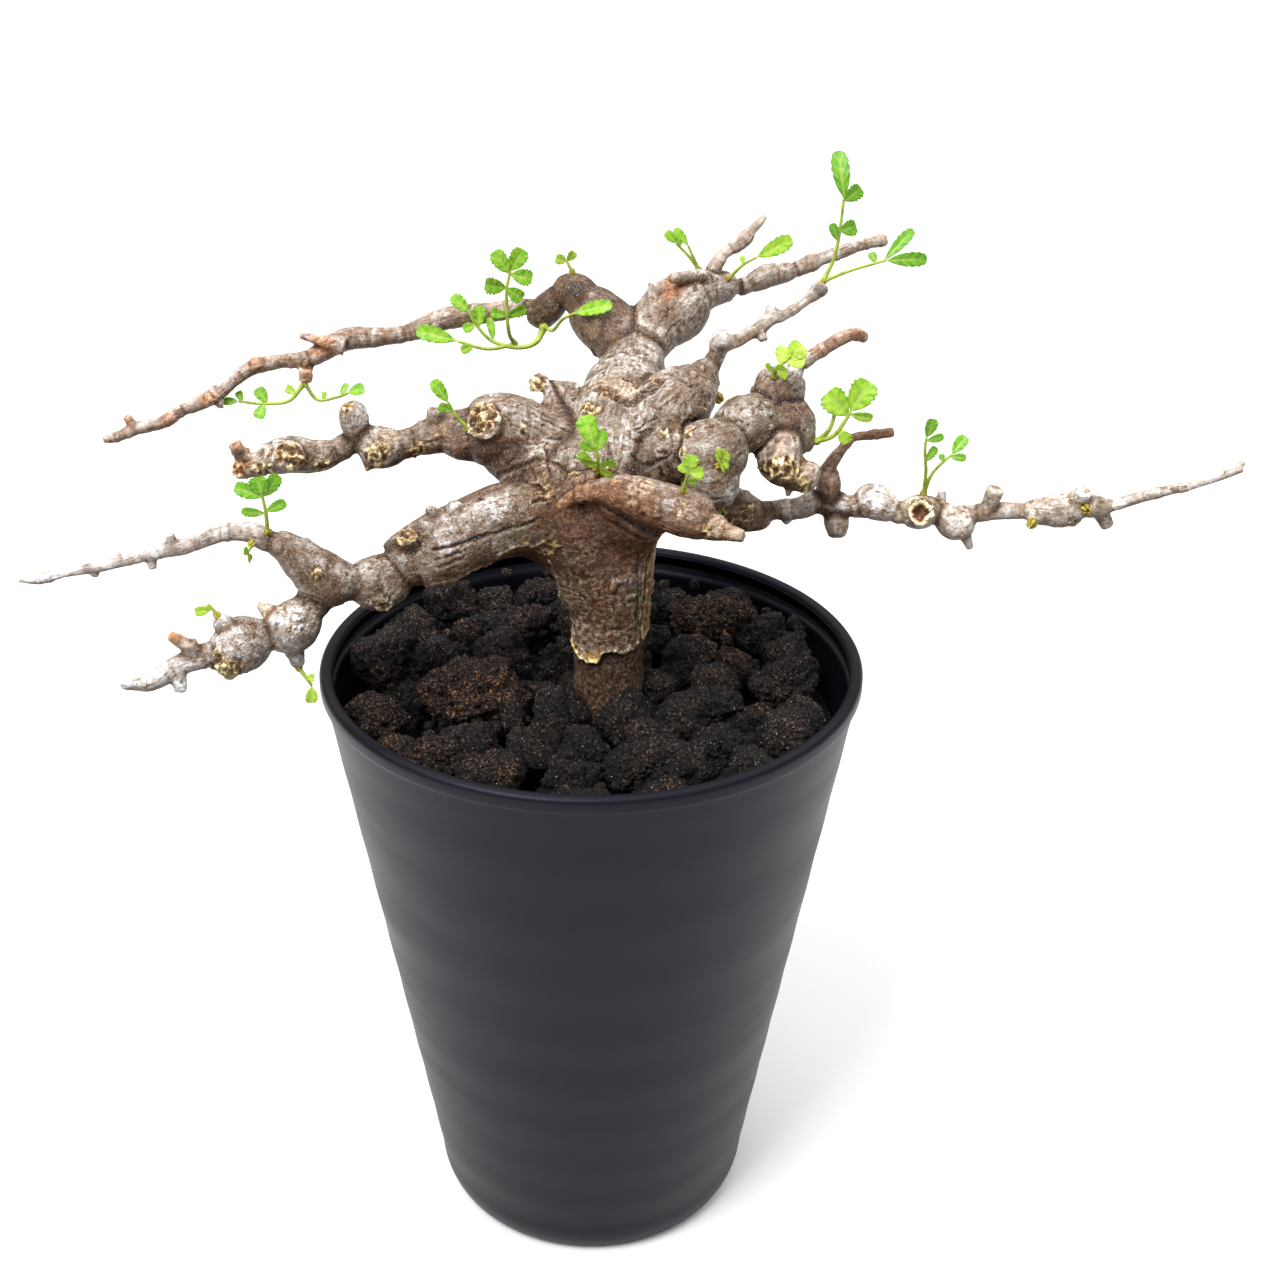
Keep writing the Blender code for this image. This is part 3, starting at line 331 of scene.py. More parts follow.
# The gravel: black scoria, a lava full of gas holes, crushed to lumps of 8 to 20 mm
gravel = {
    "coreTop": 113.0, "level": 116.8, "spacing": 11.6, "stoneRadius": (5.2, 6.8), "roughness": 0.15,
    "stoneCells": 17, "looseCells": 34, "crumbs": 190, "crumbCells": 3, "crumbRadius": (0.8, 2.1),
    "holeDepth": 0.17, "backRise": 2.8, "shake": 1.6, "crumbSpread": 47.0,
}
lava = {
    "black": "#100d0e", "brown": "#271d18", "rust": "#4a2416", "ochre": "#5c4320", "olive": "#2c2618",
    "glintColour": "#d6d2cc", "ochreGlint": "#a86a2c",
}
# x, y, width and how proud of the rest each loose stone lies
looseStones = table("""
-23.5 -6.5 20 2.5; -41 -11 12.4 1.5; -28 -26.5 12.6 1; 9.6 -29.2 13 1.2; 23.5 -24 11.5 1; 37 -17.5 11 1;
22.5 -8 12.6 1.2; 37.5 1 12.6 1.6; 26.5 24.5 17 3; 40 14 9.6 1.6; -13.5 22 17 1.8; -34 9 11.5 1.5;
-27 34.5 12 1.2; 6 -14.6 9.4 1.8""")
# stones whose colour departs from black: rust, ochre and olive shares
stoneTint = {0: (0.16, 0.14, 0.0), 1: (0.25, 0.05, 0.0), 2: (0.1, 0.1, 0.0), 8: (0.25, 0.15, 0.85),
             10: (0.1, 0.0, 0.3)}
# rust and ochre stains on the rest: x, y, z and reach, then rust and ochre shares
stains = table("""
-44 -2 119 7 1 0; -38 -20 120 5 0.2 0.6; -33 -30 120 5 0.2 0.5; -18 -9 125 6 0.6 0.5; -25 -14 124 5 0.4 0.4;
28 12 120 7 0.4 0.1; -12 -36 120 6 0.3 0.4; 14 -40 120 5 0.1 0.3; 36 -12 121 6 0.3 0.3""")


def innerRadius(height):
    # the inside of the pot's wall
    low, high, inner = pot["innerFoot"], pot["height"] - pot["rimHeight"], pot["footRadius"] - pot["wall"]
    return inner + (height - low) / (high - low) * (pot["topRadius"] - pot["wall"] - inner)


def lavaLump(ball, centre, halfSizes, turn, seed, detail):
    # A crushed lump: a ball cut back softly by random planes, swelled and dented by slow noise, pitted by gas
    # holes of three sizes and roughened like clinker; then stretched, turned and moved in to clear the pot's
    # wall
    draw = np.random.default_rng(seed)
    planes = draw.normal(size=(11, 3))
    planes /= np.linalg.norm(planes, axis=1)[:, None] * draw.uniform(0.74, 1.06, 11)[:, None]
    facing = np.clip(ball @ planes.T, 0, None)
    chipped = np.clip((facing**9).sum(axis=1), 0.02, None) ** (-1 / 9)
    rough = 1 + gravel["roughness"] * (latticeNoise(ball * 1.7 + seed, seed)
                                       + 0.5 * latticeNoise(ball * 3.6, seed))
    clinker = 1 - 2 * np.abs(latticeNoise(ball * 6.5 + seed, seed + 1))
    shape = (np.minimum(chipped, 1.12) * rough + 0.07 * clinker
             + 0.07 * latticeNoise(ball * 10 + seed, seed + 2))
    for scale, depth in ((4.2, 1.0), (8.5, 0.7)) + (((17.0, 0.4),) if detail else ()):
        holes = smoothStep(0.30, 0.62, latticeNoise(ball * scale + 3 * seed, seed + 5))
        shape -= gravel["holeDepth"] * depth * holes
    if detail:
        shape += 0.045 * latticeNoise(ball * 22 + seed, seed + 7)
    c, s = math.cos(turn), math.sin(turn)
    turned = np.array([[c, s, 0], [-s, c, 0], [0, 0, 1]])
    places = ball * shape[:, None] * np.asarray(halfSizes) @ turned + np.asarray(centre)
    over = max(0.0, (np.hypot(places[:, 0], places[:, 1]) - innerRadius(places[:, 2]) + 0.5).max())
    inward = -np.array([centre[0], centre[1], 0.0]) / max(math.hypot(centre[0], centre[1]), 1e-6)
    return places + over * inward


def stainsAt(points, own=(0.0, 0.0, 0.0)):
    # rust, ochre and olive at each point, from its stone's own tint and the stains near it
    shares = np.tile(np.array(own, float), (len(points), 1))
    for *centre, reach, rust, ochre in stains:
        near = smoothStep(1.1, 0.3, distance(points, centre) / reach)
        shares[:, 0] = np.maximum(shares[:, 0], near * rust)
        shares[:, 1] = np.maximum(shares[:, 1], near * ochre)
    return shares


def blackScoria():
    # scoria: glassy black rock froth. Dull, with rust and ochre where iron has weathered, and tiny bright
    # glints painted into its colour as highlights
    made, add, place = startMaterial("blackScoria")
    tints = add("Attribute", out="Vector", attribute_name="tints")
    rust, ochre, olive = add("SeparateXYZ", [tints], out=None)
    patch, grit, sand = (add("TexNoise", {"Vector": place, "Scale": scale, "Detail": 3.0, "Roughness": 0.65})
                         for scale in (160, 620, 1900))  # 6 mm, 1.6 mm and 0.5 mm
    colour = add("ValToRGB", [patch], stops=[(0.42, lava["black"]), (0.64, lava["brown"])])
    for share, fill, most in ((olive, "olive", 0.9), (rust, "rust", 0.9), (ochre, "ochre", 0.8)):
        broken = add("MapRange", [grit, 0.42, 0.62, 0.0, most])
        part = add("Math", [share, broken], operation="MULTIPLY")
        colour = add("Mix", {0: part, 6: colour, 7: lava[fill]}, out=2, data_type="RGBA")
    # mostly near black, with bright grains: the grain noise to the fourth power
    shade = add("MapRange", [sand, 0.34, 0.72, 0.0, 2.3])
    shade = add("Math", [shade, 4.0], operation="POWER")
    # painted shade: darker down between the stones and paler on their tops
    lowShade = add("SeparateXYZ", [place], out=2)
    lowShade = add("MapRange", [lowShade, 0.1165, 0.1235, 0.18, 1.35])
    shade = add("Math", [shade, lowShade], operation="MULTIPLY")
    colour = add("Mix", {0: 1.0, 6: colour, 7: shade}, out=2, data_type="RGBA", blend_type="MULTIPLY")
    # painted glints: a bright speck in about one 0.6 mm crumb in eight, white or, less often, ochre
    cell = add("TexVoronoi", {"Vector": place, "Scale": 1700.0}, out=None)
    chance, hue, _ = add("SeparateXYZ", [cell["Color"]], out=None)
    rare = add("MapRange", [chance, 0.84, 1.0])
    dot = add("MapRange", [cell["Distance"], 0.16, 0.26, 1.0, 0.0])
    paintedGlints = add("Math", [dot, rare], operation="MULTIPLY")
    hue = add("MapRange", [hue, 0.5])
    glintColour = add("Mix", {0: hue, 6: lava["glintColour"], 7: lava["ochreGlint"]}, out=2, data_type="RGBA")
    colour = add("Mix", {0: paintedGlints, 6: colour, 7: glintColour}, out=2, data_type="RGBA")
    height = add("Math", [grit, 2.0, sand], operation="MULTIPLY_ADD")
    bump = add("Bump", {"Height": height, "Strength": 1.0, "Distance": 0.0013})
    return finishMaterial(made, {"Base Color": colour, "Normal": bump, "Roughness": 0.62, "IOR": 1.5,
                                 "Specular IOR Level": 0.32})


def buildGravel(material):
    # a plain core, one layer of lumps on a shaken lattice over it, and crumbs strewn on top
    ball, squares = cubeBall(gravel["stoneCells"])
    small, smallSquares = cubeBall(gravel["crumbCells"])
    low, top, spacing, level = pot["innerFoot"], gravel["coreTop"], gravel["spacing"], gravel["level"]
    shake, spread = gravel["shake"], gravel["crumbSpread"]
    rings = np.array([(0, 0, pot["wall"] + 0.3, pot["baseRadius"] - pot["wall"] - 1.6),
                      (0, 0, low + 1.5, innerRadius(low) - 0.9),
                      (0, 0, top - 2.0, innerRadius(top - 2.0) - 0.6)])
    core, quads, fans = tube(rings, 72)
    places, faces = [core], [quads]
    draw = np.random.default_rng(7)
    rows = int(pot["rimRadius"] // spacing) + 1
    for i in range(-rows, rows + 1):
        for j in range(-rows, rows + 1):
            x = spacing * (i + 0.5 * (j % 2)) + draw.uniform(-shake, shake)
            y = spacing * 0.87 * j + draw.uniform(-shake, shake)
            radius = draw.uniform(*gravel["stoneRadius"])
            half = radius * np.array([1.0, draw.uniform(0.8, 1.0), draw.uniform(0.75, 0.95)])
            turn, seed = draw.uniform(0, math.pi), int(draw.integers(1, 10000))
            height = level + draw.uniform(-2.6, 1.8) + gravel["backRise"] * smoothStep(0, 18, y)
            if math.hypot(x, y) > innerRadius(top) - 0.6 * radius:
                continue
            if any(math.hypot(x - sx, y - sy) < width * 0.36 for sx, sy, width, _ in looseStones):
                continue
            places.append(lavaLump(ball, (x, y, height), half, turn, seed, False))
            faces.append(squares)
    crumbs = np.random.default_rng(19)
    for i in range(gravel["crumbs"]):
        away, turn = spread * math.sqrt(crumbs.uniform(0, 1)), crumbs.uniform(0, 2 * math.pi)
        radius = crumbs.uniform(*gravel["crumbRadius"])
        rise = gravel["backRise"] * smoothStep(0, 18, away * math.sin(turn))
        centre = (away * math.cos(turn), away * math.sin(turn), level + rise + crumbs.uniform(-0.5, 3.6))
        places.append(lavaLump(small, centre, radius * crumbs.uniform(0.7, 1.0, 3), turn * 3, 900 + i, False))
        faces.append(smallSquares)
    points, faces = joined(places, faces)
    makePiece("gravelBed", points, [faces, fans], [material], ["gravel"], {"tints": stainsAt(points)})


def buildLooseStones(material):
    ball, squares = cubeBall(gravel["looseCells"])
    for index, (x, y, width, proud) in enumerate(looseStones):
        draw = np.random.default_rng(100 + index)
        half = width / 2 * np.array([1.0, draw.uniform(0.78, 0.92), draw.uniform(0.62, 0.74)])
        name = f"lava_stone_{index + 1:02d}"
        centre = (x, y, gravel["level"] + proud)
        points = lavaLump(ball, centre, half, draw.uniform(0, math.pi), 40 + index, True)
        makePiece(f"{name}_rough", points, squares, [material], [name],
                  {"tints": stainsAt(points, stoneTint.get(index, (0.0, 0.0, 0.0)))})


# The wood: Commiphora, a swollen trunk whose limbs run out as strings of beads and end in thin twigs. Its
# bark is a tight mauve-grey skin, speckled pale and dark, with ochre cork in its creases and scars
wood = {
    "lump": 0.07, "steps": 8, "sides": 40, "twigSides": 24, "thickRadius": 3.2, "voxel": 0.38,
    "lumpHeight": 0.40, "lumpSize": 5.0, "skinHeight": 0.07, "skinSize": 1.1,
    "streakHeight": 0.15, "wrinkleHeight": 0.13, "pitDepth": 0.16, "wartHeight": 0.34,
    "scarHeight": 0.16, "creaseDepth": 0.30, "sheathStep": 0.85, "tornStep": 0.7,
    "blendTimes": 90, "blendReach": 4.5,
    "cuts": ((-22.0, 8.0, 168.0), (-22.0, -5.5, 153.5),
             (6.5, 24.0, 169.0)),  # the middles of the cuts through limbs
}
# x, y, z and radius along each limb
limbStations = {name: table(rows) for name, rows in labelled("""
trunk: 3 0 95 8; 3 0 110 8; 3 0 124 8; 3 0 130 7.8; 3 0 137.5 8.4; 2.5 0 145 9.2; 2 1 151.5 10;
2 3.5 158 10.9; 3.5 7.5 163 11.2; 5.5 14.5 167 10.4; 6.5 23 169 8.6; 7.5 30 171 6.9; 8.5 36 173 6;
9 40 174.5 3.6

backLeftLimb: 8 36 172.5 4.6; 5.5 43 176 5.9; 1.5 48 178.5 5.7; -1.5 51 181 4.1; -4 53 182.5 3.7;
-6.5 54 181 2.7; -10.5 55 177.5 3.5; -13 56 178 1.9

backLeftTwig: -10.5 55.5 177.8 2; -14 56 178 1.9; -21.5 57 176.5 2; -31 57 175 2.3; -38.5 57 172 1.7;
-44.5 56 171.5 1.9; -52 55 171 2.4; -59 54 167.5 1.7; -65 53 167 1.4; -71 52 166 1.7; -75 51 163.5 1.4;
-79.5 49 160.5 1.7; -85 47 158.5 1.25; -89 45 156.5 1.35; -93.5 43 156 1.15; -98 41.5 154.5 1.05;
-100.5 40 154.5 0.7

backRightLimb: 8 36 172.5 4.4; 13 43 178 5.2; 17 47.4 180.3 6.5; 21.5 50 183 4.2; 25.5 53 183.5 3.9;
29.5 55.5 182.7 2

backRightTip: 27 54 183 2; 30.5 56 182.5 1.7; 33 58 182.5 1.6; 36.4 59.4 183.8 2.4; 39.6 60.6 184.2 2.2;
42.5 62 184.5 1.45; 45.5 63.1 185.4 1.8; 48.4 64.3 186.3 1.35; 53 66 187.5 1.5; 56 67.2 188.1 1.15;
59.5 68.6 188.7 1.25; 62.5 70 189 1.5

backRightTwig: 25 53 184 2.5; 25.2 53.6 187.4 1.6; 26.8 54.6 189.6 1; 28.8 55.3 191 1.15; 31 56 192.4 1.5;
32.6 56.8 194.2 0.95; 34.2 57.5 195.6 0.85; 35.6 58 197 0.5

upperLimb: 7 12 164 8.4; 11.5 13 168 8.2; 16 16 172 6.5; 19.5 18 174.5 4.9; 22 20 177 2.7; 23 20.5 178.6 1.8

upperTwig: 22 20 177 2; 24 21 180 1.6; 24.5 21 182.5 2.1; 27 22 181.8 1.25; 29.5 23 183 1.35; 32 24 184 1.35;
34.5 25 186 1.5; 37 26 186 1.05; 41.5 28 188.5 0.95; 43.5 29 190 1.5; 44.5 29.5 191 1.4

beadLimb: 8 4 161 8; 13.4 2.4 165 5.6; 17.4 0.6 167 5.2; 21.6 -0.2 167.6 6.5; 25 4 169.5 4; 28.5 8 170.5 5.3;
32.5 11 171 3.9; 37 12 169 5.4; 40.5 11 166 2.8; 42 10.5 165 1.6

beadLimbTop: 32.5 12 171 3.2; 35.5 15 175 4.9; 38 17 177.5 2.4

beadLimbTwig: 37.5 16.6 177 1.9; 39.5 18 179 1.5; 44.5 20 181.5 1.3; 47.5 21 183 1.4; 50 22 183.5 1.25;
52.5 23 182.5 1.15

beadLimbLow: 37 10 167.5 4; 35 6 164.5 4.3; 37.5 5 162 3; 41 5.5 161 2.9; 42.5 5.5 160.5 1.8

rightLimb: 8 7 156 6; 14 10 154.5 5; 21 13 152.5 4.4; 27.5 15 150.5 4.3; 32 16 148.5 3.3; 35 16 149.3 2.1

rightLimbBeads: 33 16 148.8 2.4; 36 16 149.5 2; 41 16 150 2.1; 44 15.5 152 2.4; 47 15 151.5 3;
50 14 151.5 1.7; 52 14 151.5 2.2; 55 14 152.5 3.7; 59 13 150.5 1.75; 61 13 150.5 2.2; 64 12 151 3.5;
67.5 12 151 1.75; 71 11 149 3.3; 74 11 151 1.75; 79 10 152 1.75; 83.5 9 152.5 1.55; 87.5 8 153 2.9;
91 7 154 3.45; 94 6 155 2.5; 97 6 154.7 2.3; 99 5.2 155.3 1.4

rightLimbTip: 96.5 5.8 154.8 1.8; 99.5 5 155.5 1.35; 105.5 4 158 1.05; 114.5 2 161.5 0.85; 121 0 165.3 0.9

rightLimbTwig: 46.5 15 151.5 2.6; 46 15 155.5 2.75; 46 15 159 1.4; 48 14 163 1.05; 50 14 165.5 0.95;
53.5 13 166.5 0.9; 57.5 12 167.5 0.95

rightLimbDrop: 47.5 15 151 2.6; 48 14 148 2.55; 48 13.5 145 1.2

frontLimb: -12 -6.6 154.2 1.2; -9.8 -8 157.3 1.2; -7.7 -7.7 158.9 1.2; -5.8 -8.2 160.6 1.3; -4.2 -9 162.1 1.4;
-2.6 -9.4 163.2 1.5; -0.8 -9.8 164.1 1.8; 1.4 -10.6 164.8 2.2; 3.4 -11.2 164.9 2.7; 6.2 -12 164.6 3.5;
10.5 -13.5 163.6 4.3; 16.5 -16 162.8 4.2; 20.5 -18 161.5 2.6; 23.5 -20 161 1.5; 26.5 -22 161 1.1

leftMiddleLimb: 2 6 163 8; -9 9 165.2 7; -14 9 167.8 7.2; -18 8 169 6.8; -22.5 8 168.2 5; -28 8 168.2 3.4;
-33 8 167 2.7; -36 7 166.5 2.8; -39.5 6 166.5 3.8; -43.5 6 168 2.3; -48 6 165.5 2.2; -52 6 164.5 3.1;
-56 5 165.5 3.5; -60.5 5 164 2.2; -63 4 163.5 1.9; -66.5 4 162 1.2

leftMiddleKnob: -43.5 6 167.5 2.3; -44 6 172 2.8; -45 6 175 1.6

leftLowLimb: 2 1 156 8.2; -10 -3 156.5 7; -17 -4 155.5 7; -24 -6 153 6.9; -29 -8 151.5 6.5; -33 -9 150.5 5.6;
-35.3 -10 148.8 3.6; -39 -11 146.5 5; -43.5 -13 148 2.7; -48 -14 148.5 5.4; -51.5 -14 152 4.3;
-54.5 -14 155 3; -57 -14 156.2 2.3

leftLowTwig: -55 -14 155.3 2.1; -58 -14 156.5 2.1; -61 -14 158 1.75; -66 -14 158 1.65; -72.5 -13 155 1.45;
-79.5 -12 153 1.25; -86.5 -11 150.5 1.05; -96.5 -10 148 0.85; -101 -10 147 1.1; -104.5 -10 147 0.75

leftLowBeads: -49 -14 147 3.9; -51.5 -16 144 2.9; -54.5 -18 141 4.7; -58.5 -20 140.5 2.6; -63 -22 139.5 5;
-67.5 -24 139 2.3; -72.5 -26 138 1.95; -77 -28 136 1.9; -80 -29 135.5 1.4; -83 -30 136.5 0.9
""")}
# Side spurs and knobs: foot, top, foot radius, top radius. The first three are the cut knots on the left
# middle limb and the fresh cut on the right limb, the fifth is the ringed knob on the left low limb
spurs = table("""
-18.4 6.5 170 -19.9 1.8 173.2 3.7 3.2; -56 4 165.5 -55.5 0.6 167 3 2.9; 64 11 151 63.2 7.6 152.6 2.8 2.4;
-63.5 -23 139 -65.6 -26.4 136.4 2.6 1.9; -33 -11 154 -33.2 -13.6 157 2.1 1.8;
-39 -13 146 -38.6 -16 144.6 2.2 1.7; -29 8 169 -29.4 8 173.4 2 1.4; -41 5 165 -42.2 3 162.6 1.2 0.8;
-64 4 163.5 -66 4.6 166.8 1.5 1.2; -3 12 166 -4.5 17 172.5 6 3.6; -6.5 17 174.2 -11.4 18 175.8 1.9 1.3;
-24 -6 157 -30 -8 160 1.6 0.6; -35 -10 151 -37.6 -11.5 154.6 1.4 0.5; -56 -18 142 -60.2 -17 145.4 2.4 0.7;
-54.5 -18 138 -53.6 -18.6 133.4 2.2 1.1; -70.5 -25.5 138.5 -71.4 -26 142.2 1.7 1.5;
-71.2 -26 141.4 -74.4 -26.4 143.8 1.3 0.9; -73.5 -27 137.5 -73 -28 133.4 1.5 1.1;
-64 -22 142 -66.4 -23 145.2 2.2 1.5; -59.5 54 167.5 -60.4 53 162.6 1.4 1.5;
-55 54.5 170.5 -60.6 53 172.8 1.4 0.7; -75.5 -12.6 154.5 -75.7 -12.6 157.2 1.1 0.8;
76.5 10 152 77.8 9.4 157 1.4 1.7; 68 12 151.5 67.8 12 155.6 0.9 0.8; 72.5 10.6 147.4 74 10 144 1.6 0.7;
92.5 6 155 93.3 4 159 2 1.7; 97 6 154.5 99.3 6 150.6 2 1.3; 13.5 43.5 181 11.4 44 187.2 1.7 0.5;
24 50 187.4 15.6 42.8 188.2 1.6 1.1; 37.5 17 176 41 16 175.2 1.7 1; 37 5 161.5 37 4 157.6 1.3 0.5;
27.5 14 151 30.5 13 146.8 2.4 1.4; -14.5 6 161 -13.5 4 158 3 1.6""")
# Small knobs and stubs too slight for the solid: foot, top, foot radius, top radius
smallSpurs = table("""
-60.5 5 164 -60.9 5 167.4 0.9 0.8; -94.5 43 156 -95.8 42.6 158.6 0.9 0.8;
-78.5 49 161 -77.6 48.6 158.2 1.1 0.6; -86 -11 150.5 -86 -11 152.8 0.9 0.7;
-79.5 -12 153 -79.8 -12 149.8 1.1 0.8; -90.5 -10.6 149.5 -90.6 -10.6 147.6 0.9 0.7;
38 15.6 149.5 38.4 15 147 1.2 0.7; 32 24 184 32.8 22.4 182 1.2 0.9; 34.5 25 186 34 25 188.2 1.2 0.9;
119.6 0.4 164.6 121.2 0 166.6 0.8 0.6; -9 17.6 175.6 -10.6 17.8 178 0.9 0.5;
-10.6 18 175.4 -11.6 17 173.6 0.8 0.5; -28.6 -10 156.8 -31.2 -10.6 158.2 1.3 0.35;
-25.2 -7.4 158.4 -25 -7.6 161.3 1.9 1.2; -51.6 53.4 170.4 -59.2 52.8 172.2 2.3 0.7;
-60 52.2 165.6 -60.6 51.6 163 1.5 0.9; -79 47.6 161.2 -80.2 47.2 159.4 1.3 0.8;
-69.6 51.2 166.6 -70.6 51 168.6 1.3 0.7; -64 3.8 165 -65.8 3 168.2 1 1.3;
-57.5 2.4 166.8 -57.8 2 169.2 1.4 1.1""")
